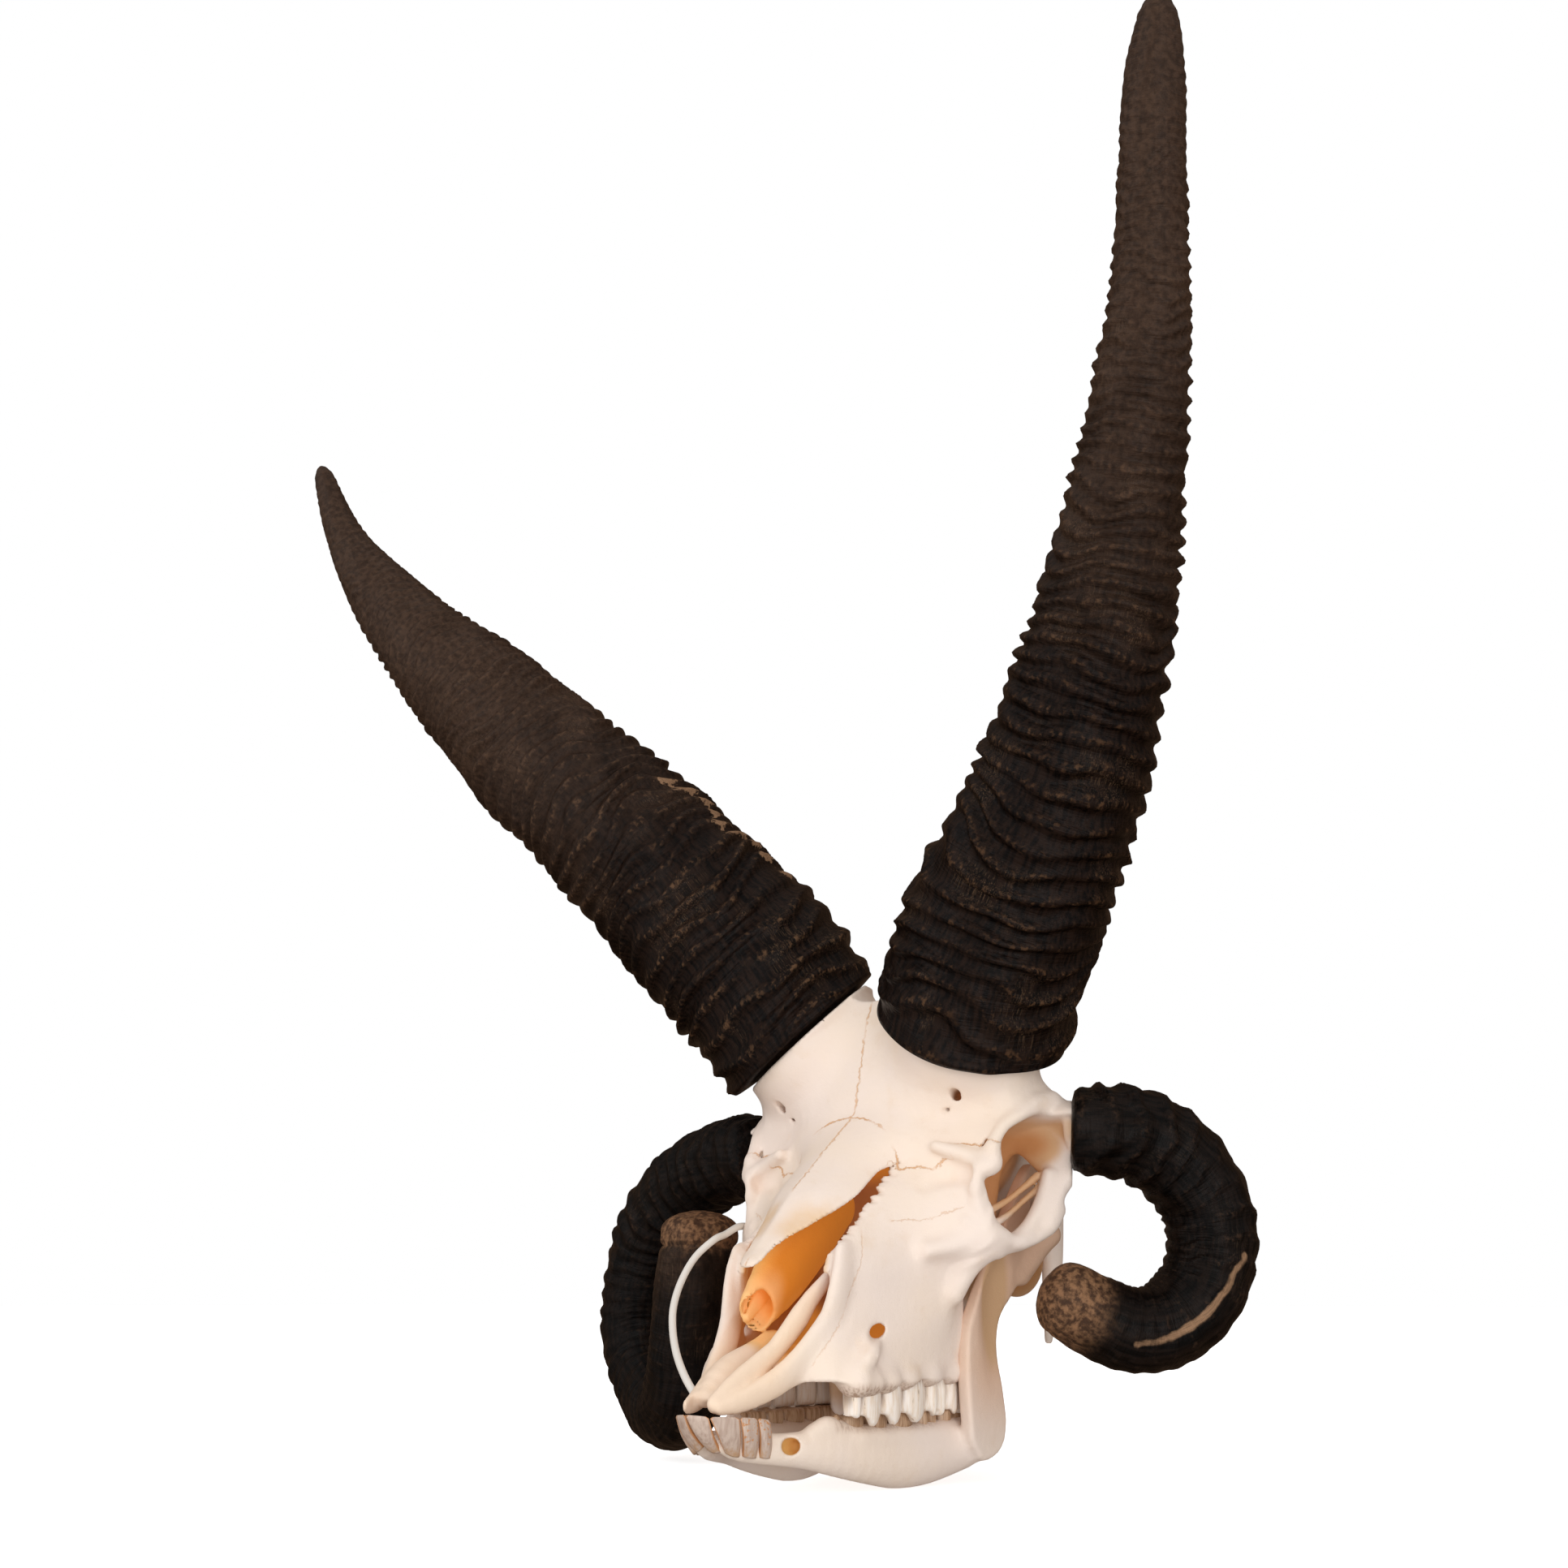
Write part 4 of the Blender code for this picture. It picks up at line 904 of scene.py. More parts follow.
horn_tall_right = horn("tall_horn_right", TALL_RIGHT, UPPER_FOOT_NORMAL * MIRROR, TALL_AXIS,
                       TALL_DEPTHS, TALL_RIDGES, 29, marked=PALE_PATCH)

# %% The two curled horns
CURLED_LEFT = (
    (73.9, 38.4, 126.6, 14.4), (79.5, 44.5, 127.2, 16.4), (90, 57, 126.5, 17.5),
    (100, 70, 117.5, 17.8), (107, 79, 102, 17.5), (108, 80.5, 84, 17.2), (104, 76, 67, 16.8),
    (96, 66, 57, 16.4), (86.5, 54, 55, 15.8), (77.5, 42.5, 60, 15.2), (72, 35.5, 65.5, 14.6),
    (66.5, 28, 70.5, 13.0),
)
CURLED_RIGHT = (
    (-73.7, 41.1, 124, 16.5), (-98, 49, 124, 17.3), (-124, 57, 118.5, 17.8),
    (-152, 65, 103.5, 18), (-167.5, 69.5, 80, 17.8), (-168, 67, 53, 17.4), (-154, 59, 32, 17),
    (-131, 45, 21, 16.8), (-108, 28, 27, 17), (-96, 18, 52, 17.5), (-89, 14, 79, 17.5),
    (-88, 13, 101, 15.5),
)
SCRAPE = ((95.4, 42.7, 50.3), (103.6, 51.4, 52.2), (112.0, 60.6, 58.5), (117.7, 67.1, 66.8),
          (121.7, 72.2, 76.7), (123.8, 75.8, 81.4))
END_GROOVE = 14.0
horn_curled_left = horn("curled_horn_left", CURLED_LEFT, LOWER_FOOT_NORMAL, (0.78, -0.62, 0),
                        (1.0, 0.95), (12.0, 1.0, 1.0, 9.0), 41, marked=SCRAPE)
horn_curled_right = horn("curled_horn_right", CURLED_RIGHT, LOWER_FOOT_NORMAL * MIRROR,
                         (-0.35, -0.94, 0), (1.0, 1.0, 1.0, 0.72), (11.0, 0.8, 1.3, 7.0), 53,
                         END_GROOVE)


# %% [markdown]
# ## Teeth
#
# A sheep's cheek teeth are tall columns with folds down their sides, worn to sharp points
# along the outer edge. Each one is a ring whose outline swells in and out, carried from
# root to crown. The front teeth are thin blades like small chisels, spread like a fan.

# %% Cheek teeth
TOOTH_JOINTS = (-44, -38.8, -27, -15.5, -1, 12, 27.6)
UPPER_ROW = {"middle": (29.0, 29.8), "ends": (39.5, 26.4), "half": (2.9, 3.7, 4.3, 4.7, 4.7, 4.3)}
LOWER_ROW = {"middle": (20.6, 27.2), "ends": (19.5, 26.15), "half": (2.4, 3.2, 3.8, 4.0, 4.0, 3.8)}
TOOTH_DROPS = (0.6, 3.6, 3.6, 3.4, 2.4, 2.2)


def cheek_tooth(name, number, row, side, drop):
    """A tooth whose outline is a rounded box. With p from -1 in front to 1 behind, its outer
    side bulges by cos(pi p / 2) where it has one fold, and by -cos(2 pi p) where it has two.
    From root to crown it swells and narrows again, and the crown's outer edge runs out to
    points where the folds bulge."""
    front, back = TOOTH_JOINTS[number] + GAP / 2, TOOTH_JOINTS[number + 1] - GAP / 2
    two_folds = number > 3
    middle = row["middle"][0] + (row["middle"][1] - row["middle"][0]) * number / 5
    root, crown = row["ends"]
    angle = np.linspace(0, 2 * np.pi, 64, endpoint=False)[None]
    rise = np.array((0, 0.15, 0.3, 0.45, 0.6, 0.72, 0.82, 0.9, 0.95, 0.98, 1.0, 1.0))[:, None]
    swell = np.array((0.86, 0.92, 0.96, 0.99, 1.0, 0.99, 0.97, 0.93, 0.88, 0.8, 0.66, 0.3))[:, None]
    u, v = np.cos(angle), np.sin(angle)
    box = (np.abs(u)**3 + np.abs(v)**3)**(-1 / 3)
    place = v * box
    fold = -np.cos(2 * np.pi * place) if two_folds else np.cos(np.pi * place / 2)
    outer = np.clip(u, 0, 1)
    bulge = 1 + (0.18 if two_folds else 0.3) * outer * fold
    x = middle + row["half"][number] * u * box * swell * bulge
    y = (front + back) / 2 + (back - front) / 2 * v * box * (0.3 + 0.7 * swell)
    point = np.clip(fold, 0, 1) * outer**3
    step = 1 if crown > root else -1
    z = root + (crown - root) * rise + step * drop * point * rise**5 + 0 * x
    grid = np.stack((x * side, y, z), 2)
    return closed_tube(name, grid, {"rise": rise + 0 * x, "fold": np.abs(place) + 0 * rise})


# %% Make the cheek teeth
cheek_teeth = {}
for side, hand in ((1, "left"), (-1, "right")):
    for i in range(6):
        for level, row, drop in (("upper", UPPER_ROW, TOOTH_DROPS[i]), ("lower", LOWER_ROW, 0.8)):
            node = f"{level}_tooth_{hand}_{i + 1}"
            cheek_teeth[node] = cheek_tooth(f"cheek_{node}", i, row, side, drop)

# %% Roots and tips of the front teeth
ROOT_ARC = ((0, -85.6, 17.8), (5.8, -83.2, 16.0), (9.2, -77.8, 14.4), (11.4, -71.8, 13.9),
            (12.9, -66.4, 13.6))
TIP_ARC = ((0, -96.4, 28.2), (7.4, -92.6, 27.6), (12.4, -82.4, 27.2), (14.4, -75.4, 26.7),
           (15.4, -69.8, 25.9))


# %% Make the front teeth
def front_tooth(name, number, side):
    """A blade between two borders, which run from an arc of roots up to an arc of tips. Its
    half width is half their distance, less half the gap, narrowed towards the root and
    rounded at the tip's corners. It thins to an edge and bows forward by a sine."""
    t = np.linspace(0, 1, 24)[:, None, None]
    angle = np.linspace(0, 2 * np.pi, 40, endpoint=False)[None, :, None]
    roots, tips = np.array(ROOT_ARC[number:number + 2]), np.array(TIP_ARC[number:number + 2])
    inner, outer = roots[0] + (tips[0] - roots[0]) * t, roots[1] + (tips[1] - roots[1]) * t
    across = unit((outer - inner)[:, 0])[:, None]
    out = unit(np.cross(across[:, 0], unit(tips.mean(0) - roots.mean(0))))[:, None]
    out = out * np.sign(-out[..., 1:2])
    corner = np.clip(1 - ((t - 0.94) / 0.061).clip(0, 1)**3, 0.03, 1)**0.5
    wide = np.linalg.norm(outer - inner, axis=2, keepdims=True) / 2 - GAP / 2
    wide = wide * (0.72 + 0.28 * corner) * (0.9 + 0.1 * np.sin(1.571 * t))
    thick = 1.9 * (1 - 0.72 * t**1.4) * corner
    grid = ((inner + outer) / 2 + out * (1.2 * np.sin(np.pi * t) + thick * np.sin(angle))
            + across * wide * np.cos(angle))
    flat = np.zeros(grid.shape[:2])
    kept = {"rise": t[..., 0] + flat, "side": np.abs(np.cos(angle))[..., 0] + flat,
            "stain": flat + (number > 1)}
    return closed_tube(name, grid * (side, 1, 1), kept)


front_teeth = {}
for side, hand in ((1, "left"), (-1, "right")):
    for i in range(4):
        front_teeth[f"incisor_{hand}_{i + 1}"] = front_tooth(f"front_tooth_{hand}_{i + 1}", i, side)


# %% [markdown]
# ## The wire
#
# A bowed off-white wire runs from the side of the nose to the chin, in front of the far
# curled horn. It is round and stiff, so it is a ring carried along a smooth path.

# %% The bowed wire
WIRE_PATH = (
    (-61.0, 10.5, 94.2), (-58.2, 1.5, 93.4), (-56.6, -8.0, 90.3), (-55.0, -16.5, 88.1),
    (-57.0, -25.2, 81.5), (-55.5, -34.8, 72.7), (-51.0, -44.4, 63.5), (-44.5, -52.3, 55.4),
    (-35.0, -61.0, 47.0), (-24.0, -69.0, 39.4), (-13.5, -75.0, 33.0),
)
WIRE_RADIUS = 1.4
path = through(WIRE_PATH, 120)
across, up = rings_along(path, path[1] - path[0], (0.6, -0.8, 0), 1.0)
angle = np.linspace(0, 2 * np.pi, 24, endpoint=False)[None]
from_end = np.minimum(np.arange(120), np.arange(119, -1, -1))
ends = np.sqrt(1 - (1 - np.clip(from_end / 2 + 0.1, 0, 1))**2)
reach = WIRE_RADIUS * ends[:, None]
wire = closed_tube("bowed_wire", path[:, None] + across[:, None] * (reach * np.cos(angle))[..., None]
                   + up[:, None] * (reach * np.sin(angle))[..., None])


# %% [markdown]
# ## Shader maths in Python
#
# A node tree is easier to read as a formula. The class below wraps a socket, so that
# plus, minus and times build Math nodes, and one method makes every other node.

# %% A socket that can be calculated with
class Signal:
    """An output socket in a material's node tree, or a plain number."""

    def __init__(self, tree, socket):
        self.tree, self.socket = tree, socket

    def node(self, kind, settings=None, output=0, **inputs):
        """A node of a type, with its settings put in first, then values or links of its
        sockets. A socket is named by its label with _ for a space, or as in0, in1."""
        made = self.tree.nodes.new("ShaderNode" + kind)
        for key, value in (settings or {}).items():
            setattr(made, key, value)
        for key, value in inputs.items():
            place = int(key[2:]) if key[:2] == "in" and key[2:].isdigit() else key.replace("_", " ")
            if isinstance(value, Signal):
                self.tree.links.new(value.socket, made.inputs[place])
            else:
                made.inputs[place].default_value = value
        return Signal(self.tree, made.outputs[output])

    def math(self, operation, *others):
        """A Math node with this value first."""
        inputs = {f"in{i + 1}": other for i, other in enumerate(others)}
        return self.node("Math", {"operation": operation}, in0=self, **inputs)

    def __add__(self, other):
        return self.math("ADD", other)

    def __sub__(self, other):
        return self.math("SUBTRACT", other)

    def __rsub__(self, other):
        return self.node("Math", {"operation": "SUBTRACT"}, in0=other, in1=self)

    def __mul__(self, other):
        return self.math("MULTIPLY", other)

    __radd__ = __add__
    __rmul__ = __mul__

    def ramp(self, low, high):
        """0 at low and before it, 1 at high and beyond, and a smooth step between. Low may
        be the larger of the two."""
        settings = {"interpolation_type": "SMOOTHSTEP", "clamp": True}
        return self.node("MapRange", settings, Value=self, From_Min=low, From_Max=high)


# %% Helpers that every finish shares
class Finish:
    """A material under construction: its tree, its shader and the usual inputs."""

    def __init__(self, name):
        self.material = bpy.data.materials.new(name)
        self.material.use_nodes = True
        self.tree = self.material.node_tree
        self.shader = self.tree.nodes["Principled BSDF"]
        self.start = Signal(self.tree, None)
        self.place = self.start.node("TexCoord", output="Object")

    def attribute(self, name, output="Fac"):
        """A value that was kept on the piece's points."""
        return self.start.node("Attribute", {"attribute_name": name}, output)

    def parts(self, vector):
        """The three numbers of a vector."""
        split = vector.node("SeparateXYZ", Vector=vector).socket.node
        return [Signal(self.tree, socket) for socket in split.outputs]

    def stretched(self, vector, scale):
        """A vector times a scale for each axis."""
        return vector.node("VectorMath", {"operation": "MULTIPLY"}, in0=vector, in1=scale)

    def noise(self, vector, scale, detail):
        """Fractal noise between 0 and 1."""
        return vector.node("TexNoise", {"noise_dimensions": "3D"}, Vector=vector, Scale=scale,
                           Detail=detail, Roughness=0.55)

    def mix(self, share, first, second):
        """A blend of two colours."""
        settings = {"data_type": "RGBA", "clamp_factor": True}
        first, second = (colour if isinstance(colour, Signal) else (*colour, 1)
                         for colour in (first, second))
        return self.start.node("Mix", settings, 2, in0=share, in6=first, in7=second)

    def bump(self, height, distance, strength):
        """A bump from a height in shares of the given distance in metres."""
        return self.start.node("Bump", Height=height, Distance=distance, Strength=strength)

    def feed(self, **inputs):
        """Give the shader's sockets their values or links, and return the material."""
        for key, value in inputs.items():
            socket = self.shader.inputs[key.replace("_", " ")]
            if isinstance(value, Signal):
                self.tree.links.new(value.socket, socket)
            else:
                socket.default_value = value
        print(self.material.name, "has", len(self.tree.nodes), "nodes")
        return self.material


def linear(*steps):
    """A colour in the shader's linear values from 0 to 255 steps on a screen: above a small
    toe, ((c + 0.055) / 1.055) to the power 2.4."""
    return tuple(((c / 255 + 0.055) / 1.055)**2.4 if c > 10 else c / 255 / 12.92 for c in steps)


# %% [markdown]
# ## Bone
#
# Clean bone is ivory, a little warmer where it is thin or greasy. Light and shade are
# painted into the colour by the depth that was kept on the points: painted orange light in
# the nose, where light comes back orange, and painted tan shade in the eye sockets, under
# the cheek arch and in holes. The deepest places also get a faint painted glow, as thin
# bone shows with light behind it. Seams are thin tan lines that waver, with orange gaps
# where the bones don't quite meet, tartar darkens the edge that holds the upper cheek
# teeth, the jaw's edge under the teeth is darker and browner, and pores give the skin its
# grain.

# %% Lines of the seams in the bone
def seam_line(finish, skull, name, width, waver):
    """How much of a seam's line shows: 1 near the zero of its distance, which is shifted by
    noise, falling to 0 at the width, and only close to where the line was drawn."""
    across, away, _ = finish.parts(finish.attribute(name, "Vector"))
    shift = (finish.noise(skull, 0.55, 2) - 0.5) * (2.4 * waver)
    shift = shift + (finish.noise(skull, 1.7, 2) - 0.5) * waver
    line = (across + shift).math("ABSOLUTE").ramp(width, width * 0.3)
    return line * away.ramp(5.0, 3.0)


SEAM_LOOKS = (("seam_brow", 0.7, 1.1, 0.9), ("seam_snout", 0.4, 0.9, 0.35),
              ("seam_cheek", 0.4, 1.3, 0.45))


# %% Bone material
def make_bone(name, seams):
    """Ivory bone with light and shade painted in by depth, a faint painted glow in the deepest
    hollows, stains, pores and fine relief. The cranium has seams, and a warm snout. The jaw
    has instead an upright plate painted darker and browner towards its top and back, painted
    shade with some brown stain."""
    finish = Finish(name)
    millimetres = finish.stretched(finish.place, (1000, 1000, 1000))
    skull = millimetres.node("VectorMath", {"operation": "SUBTRACT"}, in0=millimetres,
                             in1=tuple(ORIGIN))
    x, y, z = finish.parts(skull)
    aside = x.math("ABSOLUTE")
    cloud, patch = finish.noise(skull, 0.02, 4), finish.noise(skull, 0.09, 5)
    colour = finish.mix(cloud.ramp(0.35, 0.7), linear(238, 221, 209), linear(240, 221, 203))
    colour = finish.mix(patch.ramp(0.55, 0.8) * 0.4, colour, linear(230, 204, 178))
    depth = finish.attribute("depth")
    inside = depth + (patch - 0.5) * 3
    nose = aside.ramp(30, 26) * y.ramp(16, 8)
    # Painted light and shade by depth: painted orange light in the nose, painted tan shade in the eye
    # sockets, under the cheek arch and in holes.
    orange = finish.mix(inside.ramp(7, 17), linear(226, 178, 108), linear(196, 110, 22))
    tan = finish.mix(inside.ramp(4, 14), linear(216, 176, 136), linear(182, 130, 84))
    painted_hollow_shading = finish.mix(nose, tan, orange)
    # Painted shade, with some brown stain: the jaw's upright plate turns darker and browner towards its
    # top and back, under the cheek arch.
    if not seams:
        colour = finish.mix(y.ramp(-5, 30) * z.ramp(8, 45), colour, linear(228, 190, 162))
    colour = finish.mix(inside.ramp(1.2, 6.5) if seams else depth.ramp(0.3, 1.4), colour, painted_hollow_shading)
    relief = finish.noise(skull, 0.35, 6) * 0.6 + finish.noise(skull, 1.8, 4) * 0.25
    if seams:
        warm = aside.ramp(22, 15) * y.ramp(-38, -46) * z.ramp(80, 68)
        colour = finish.mix(warm * 0.4, colour, linear(246, 208, 164))
        middle = (x + (finish.noise(skull, 0.45, 3) - 0.5) * 3.2).math("ABSOLUTE").ramp(0.6, 0.15)
        middle = middle * y.ramp(-66, -64) * z.ramp(70, 74) * depth.ramp(0.8, 0.3) * z.ramp(182, 176)
        lines = middle * 0.75
        for seam, width, waver, force in SEAM_LOOKS:
            lines = lines.math("MAXIMUM", seam_line(finish, skull, seam, width, waver) * force)
        broken = finish.noise(skull, 0.16, 3).ramp(0.34, 0.5)
        lines = lines * (broken * 0.7 + 0.3) * depth.ramp(1.6, 0.8)
        colour = finish.mix(lines * 0.85, colour, linear(208, 152, 96))
        _, away, place = finish.parts(finish.attribute("seam_brow", "Vector"))
        open_part = place.ramp(9, 14) * place.ramp(27, 22) * away.ramp(3.5, 1.0)
        spots = finish.noise(skull, 0.42, 3).ramp(0.52, 0.62) * open_part * depth.ramp(2.5, 1.5)
        colour = finish.mix(spots * 0.9, colour, linear(204, 128, 52))
        relief = relief - lines * 0.6
    streak = finish.noise(finish.stretched(skull, (1, 1, 0.22)), 0.9, 3).ramp(0.42, 0.66)
    # Along the edge that holds the cheek teeth the bone turns darker and browner: tartar on the
    # cranium, and on the jaw a band along its upper edge under the upper teeth.
    if seams:
        gum = z.ramp(38.5, 34.5) * aside.ramp(22, 25) * y.ramp(-50, -46) * y.ramp(26, 20)
    else:
        gum = z.ramp(19.5, 22.5) * aside.ramp(17, 19) * y.ramp(-46, -42) * y.ramp(12, 2) * 0.6
    colour = finish.mix(gum * (streak * 0.5 + 0.2), colour, linear(150, 106, 72))
    pores = finish.noise(skull, 2.6, 2).ramp(0.69, 0.75) * patch.ramp(0.5, 0.65)
    colour = finish.mix(pores * 0.4, colour, linear(176, 132, 92))
    height = relief - pores * 0.5
    # Painted glow: the deepest hollows give off a faint light, orange in the nose and tan in the eye
    # sockets, though nothing there is a lamp.
    deep = inside.ramp(4, 14) * nose.math("MAXIMUM", z.ramp(84, 92))
    glow = finish.mix(deep, (0, 0, 0), finish.mix(nose, linear(140, 92, 58), linear(232, 152, 62)))
    return finish.feed(Base_Color=colour, Roughness=0.62 - (patch - 0.5) * 0.15,
                       Specular_IOR_Level=0.2, Emission_Color=glow, Emission_Strength=0.33,
                       Normal=finish.bump(height, 0.0005, 0.7))


bone = make_bone("bone", True)
jaw_bone = make_bone("jaw_bone", False)


# %% [markdown]
# ## Horn
#
# Old horn is nearly black with a dull gloss. Fine streaks run lengthwise, the crests of
# the ridges are rubbed to brown, pale dust lies in patches of streaks, and towards the tip
# the whole horn weathers to brown. The ends of the curled horns are worn to a mottle. The
# grain attribute follows the horn's bend, so the streaks do too.

# %% Horn material
def make_horn(name, dark, rubbed, dust, worn, brown_from, mark):
    """Dark horn with streaks, rubbed crests and dust. It turns brown from a share of its
    length on, and wear sets in between two more shares. Round its marked line it is rubbed
    pale, over a width, with an edge that is more or less ragged."""
    finish = Finish(name)
    grain = finish.attribute("grain", "Vector")
    crest, share = finish.attribute("crest"), finish.attribute("share")
    fibres = finish.noise(finish.stretched(grain, (1, 1, 0.09)), 0.55, 5)
    hairs = finish.noise(finish.stretched(grain, (1, 1, 0.05)), 2.2, 3)
    cloud = finish.noise(grain, 0.03, 4)
    spots = finish.noise(grain, 0.42, 5)
    wrinkles = finish.noise(finish.stretched(grain, (0.12, 0.12, 1)), 1.1, 3)
    colour = finish.mix(fibres.ramp(0.35, 0.65), dark[0], dark[1])
    on_crests = crest.ramp(0.5, 1.0) * spots.ramp(0.5, 0.68) * cloud.ramp(0.35, 0.6)
    colour = finish.mix(on_crests * 0.6, colour, rubbed)
    colour = finish.mix(cloud.ramp(0.5, 0.72) * hairs.ramp(0.5, 0.72) * dust[1], colour, dust[0])
    older = (share + (cloud - 0.5) * 0.5).ramp(brown_from - 0.15, brown_from + 0.3)
    colour = finish.mix(older * (spots.ramp(0.3, 0.7) * 0.5 + 0.35), colour, linear(74, 55, 43))
    mottle = finish.mix(spots.ramp(0.35, 0.68), linear(66, 46, 34), linear(136, 100, 72))
    worn_share = (share + (finish.noise(grain, 0.12, 4) - 0.5) * 0.06).ramp(*worn)
    colour = finish.mix(worn_share, colour, mottle)
    width, ragged = mark
    edge = (spots - 0.5) * ragged + (1 - crest) * (0.35 * ragged)
    rub = (finish.attribute("mark") + edge).ramp(width + 0.5, width - 0.5)
    colour = finish.mix(rub * (hairs.ramp(0.36, 0.56) * 0.3 + 0.6), colour, linear(150, 116, 88))
    height = fibres * 0.15 + hairs * 0.06 + wrinkles * 0.55 + spots * 0.35
    return finish.feed(Base_Color=colour, Roughness=0.24 + spots * 0.3, Specular_IOR_Level=0.07,
                       Normal=finish.bump(height, 0.0008, 1.0))


TALL = {"dark": (linear(8, 4, 3), linear(32, 20, 14)), "dust": (linear(132, 104, 78), 0.4),
        "worn": (1.1, 1.2)}
CURLED = {"dark": (linear(6, 4, 3), linear(25, 17, 13)), "dust": (linear(104, 84, 66), 0.35),
          "rubbed": linear(62, 44, 32), "mark": (1.7, 1)}
horn_tall = make_horn("horn_tall", **TALL, rubbed=linear(96, 68, 46), brown_from=0.45, mark=(1, 1))
horn_rough = make_horn("horn_rough", **TALL, rubbed=linear(112, 82, 58), brown_from=0.3,
                       mark=(4.6, 12))
horn_near = make_horn("horn_near", **CURLED, worn=(0.84, 0.92), brown_from=0.9)
horn_far = make_horn("horn_far", **CURLED, worn=(0.945, 0.965), brown_from=0.95)


# %% [markdown]
# ## Teeth and wire
#
# Enamel is greyer and glossier than bone. Brown tartar clings to the gum and between the
# teeth, and the small front teeth are streaked with orange.

# %% Enamel and wire materials
def make_enamel(name, white, stain, dark, cells=False):
    """Enamel with stains that run along the tooth, and with tartar between the teeth. On
    front teeth the tartar is orange, and also lies in small cells on those marked for it."""
    finish = Finish(name)
    millimetres = finish.stretched(finish.place, (1000, 1000, 1000))
    streak = finish.noise(finish.stretched(millimetres, (1, 1, 0.12)), 0.9, 4)
    cloud = finish.noise(millimetres, 0.3, 3)
    rise = finish.attribute("rise")
    colour = finish.mix(streak.ramp(0.35, 0.7), white[0], white[1])
    near_root = rise.ramp(0.42, 0.05)
    colour = finish.mix((near_root * streak.ramp(0.35, 0.6)) * stain[1], colour, stain[0])
    colour = finish.mix(streak.ramp(0.62, 0.7) * cloud.ramp(0.45, 0.6) * dark[1], colour, dark[0])
    if not cells:
        between = finish.attribute("fold").ramp(0.8, 1.0) * rise.ramp(0.9, 0.5)
        colour = finish.mix(between * 0.7, colour, stain[0])
    else:
        marks = finish.noise(millimetres, 0.75, 2).ramp(0.56, 0.62) * finish.attribute("stain")
        gaps = finish.attribute("side").ramp(0.86, 0.98).math("MAXIMUM", marks * rise.ramp(0.3, 0.5))
        colour = finish.mix(gaps * 0.8, colour, linear(198, 128, 58))
    return finish.feed(Base_Color=colour, Roughness=0.34, Specular_IOR_Level=0.5,
                       Normal=finish.bump(streak, 0.0003, 0.5))


enamel = make_enamel("upper_enamel", (linear(246, 236, 226), linear(232, 212, 190)),
                     (linear(138, 104, 76), 0.9), (linear(110, 82, 58), 0.6))
low_enamel = make_enamel("lower_enamel", (linear(196, 164, 134), linear(150, 112, 80)),
                         (linear(110, 78, 52), 0.9), (linear(84, 60, 42), 0.8))
front_enamel = make_enamel("front_enamel", (linear(206, 184, 168), linear(184, 158, 142)),
                           (linear(206, 160, 112), 0.6), (linear(170, 120, 70), 0.3), True)
coated = Finish("coated_wire")
wire_finish = coated.feed(Base_Color=(*linear(232, 226, 218), 1), Roughness=0.4,
                          Normal=coated.bump(coated.noise(coated.place, 900, 2), 0.0001, 0.4))


# %% Give every piece its finish, hang it under the root and hide the solid that it stands for
DRESS = [
    (cranium, bone, "bone", ("cranium",)),
    (jaw_left, jaw_bone, "bone", ("mandible_left",)),
    (jaw_right, jaw_bone, "bone", ("mandible_right",)),
    (horn_tall_left, horn_tall, "horn", ("horn_upper_left",)),
    (horn_tall_right, horn_rough, "horn", ("horn_upper_right",)),
    (horn_curled_left, horn_near, "horn", ("horn_lower_left",)),
    (horn_curled_right, horn_far, "horn", ("horn_lower_right",)),
    (wire, wire_finish, "coated_wire", ("wire",)),
]
DRESS += [(piece, enamel if "upper" in node else low_enamel, "enamel", (node,))
          for node, piece in cheek_teeth.items()]
DRESS += [(piece, front_enamel, "enamel", (node,)) for node, piece in front_teeth.items()]
for piece, finish, slot, nodes in DRESS:
    piece.data.materials.append(finish)
    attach(piece, "root")
    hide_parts(*nodes)
print("pieces:", len(DRESS))


# %% [markdown]
# ## Floor, light and camera
#
# The photograph has a white ground without a horizon. A white floor that also glows,
# under a sky that the camera sees as white, gives the same. Light from all round would
# wash out the nose and the eye sockets, so the floor lights nothing, and the sky lights
# from the camera's side and in front, while its back is dark and warm. Two soft lamps
# shape the forms: one in front, above and to the camera's left, and one low, behind the
# camera and to its right. The camera stands low in front of the left cheek, looking up.

# %% Floor
bpy.ops.mesh.primitive_plane_add(size=30, location=(0, 0, -0.0005))
floor = bpy.context.object
floor.name = "floor"
floor_finish = Finish("floor_white")
floor.data.materials.append(floor_finish.feed(Base_Color=(0.9, 0.9, 0.9, 1), Roughness=0.9,
                                              Emission_Color=(1, 1, 1, 1), Emission_Strength=0.8))
floor.visible_diffuse = False
floor.visible_glossy = False

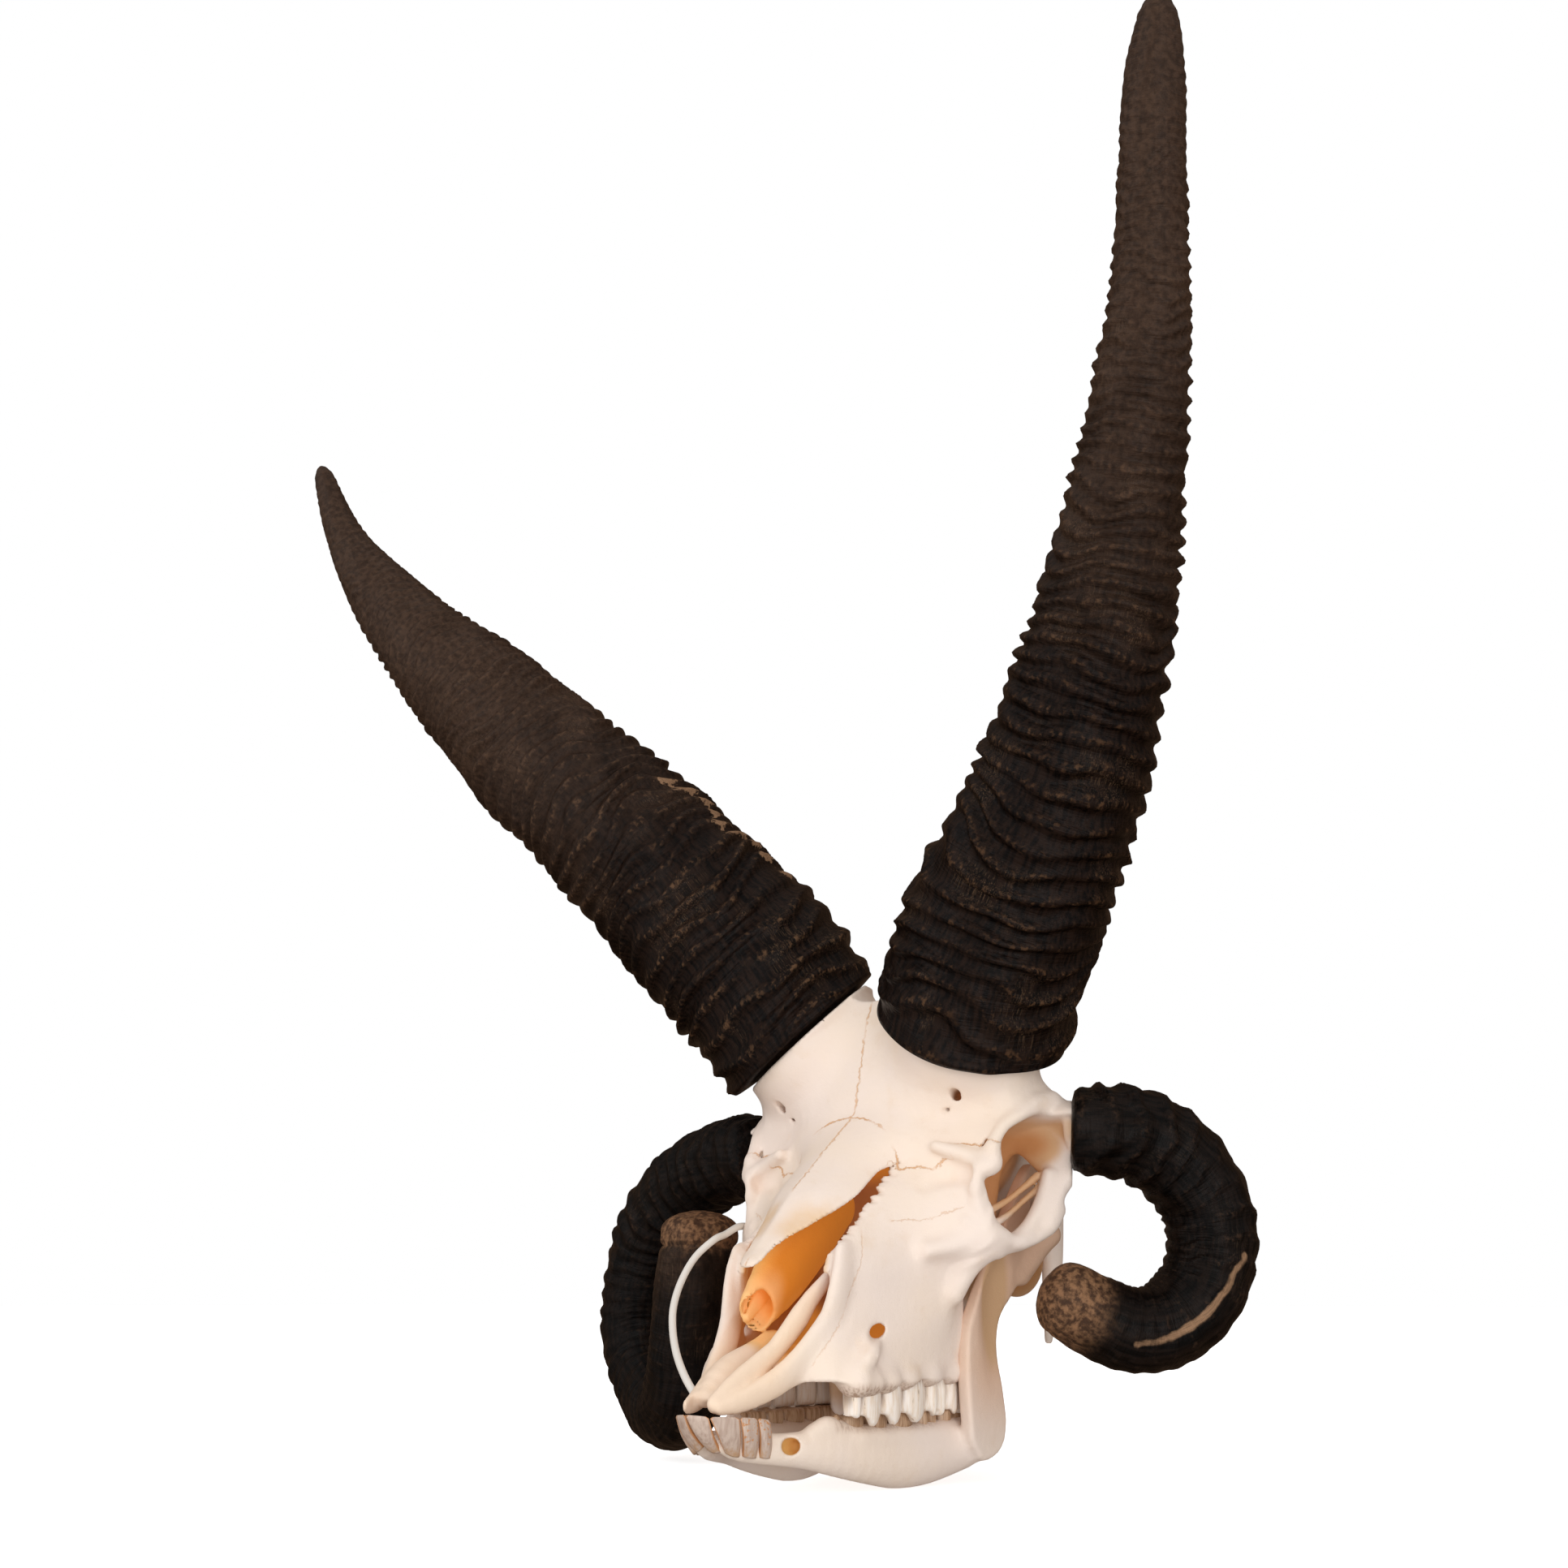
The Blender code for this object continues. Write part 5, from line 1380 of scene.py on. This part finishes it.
# %% Sky: white for the camera, softer and one-sided for what it lights
BRIGHT_SIDE = tuple(unit((0.4, -0.85, 0.3)))
SKY_DARK, SKY_BRIGHT, SKY_SEEN = (0.17, 0.10, 0.06, 1), (0.83, 0.83, 0.83, 1), (1, 1, 1, 1)
scene = bpy.context.scene
scene.view_settings.view_transform = "Standard"
sky = bpy.data.worlds.new("studio")
sky.use_nodes = True
scene.world = sky
start = Signal(sky.node_tree, None)
facing = start.node("VectorMath", {"operation": "DOT_PRODUCT"}, 1, in0=start.node("TexCoord"),
                    in1=BRIGHT_SIDE)
glow = start.node("Mix", {"data_type": "RGBA"}, 2, in0=facing.ramp(-0.5, 0.5), in6=SKY_DARK,
                  in7=SKY_BRIGHT)
seen = start.node("LightPath", output="Is Camera Ray")
colour = start.node("Mix", {"data_type": "RGBA"}, 2, in0=seen, in6=glow, in7=SKY_SEEN)
sky.node_tree.links.new(colour.socket, sky.node_tree.nodes["Background"].inputs["Color"])


# %% Lamps
def soft_lamp(name, place, target, size, watts):
    """A square area lamp that faces a target."""
    lamp = bpy.data.lights.new(name, "AREA")
    lamp.size = size
    lamp.energy = watts
    thing = bpy.data.objects.new(name, lamp)
    way = np.array(target) - np.array(place)
    tilt, turn = math.atan2(math.hypot(way[0], way[1]), -way[2]), math.atan2(-way[0], way[1])
    thing.location = place
    thing.rotation_euler = (tilt, 0, turn)
    scene.collection.objects.link(thing)
    print(name, "lamp:", watts, "W at", place, "m")


soft_lamp("key", (-0.4, -1.6, 0.9), (0.05, 0, 0.15), 0.7, 6)
soft_lamp("fill", (1.4, -1.1, 0.12), (0.05, 0, 0.1), 1.2, 13)

# %% Camera at the photograph's viewing angle
PHOTO_SIDE_PIXELS, FOCAL_PIXELS = 1932, 2463
CAMERA_PLACE = np.array((459.0, -627.7, 66.0))
LOOKS_UP, TURNED = 14.43, 38.11
view = bpy.data.cameras.new("photo_view")
view.sensor_width = 36
view.lens = FOCAL_PIXELS / PHOTO_SIDE_PIXELS * view.sensor_width
view.clip_start = 0.01
camera = bpy.data.objects.new("photo_view", view)
camera.location = (CAMERA_PLACE + ORIGIN) * MM
camera.rotation_euler = (math.radians(90 + LOOKS_UP), 0, math.radians(TURNED))
scene.collection.objects.link(camera)
scene.camera = camera
print("camera:", round(view.lens, 1), "mm lens at", [round(value, 3) for value in camera.location], "m")
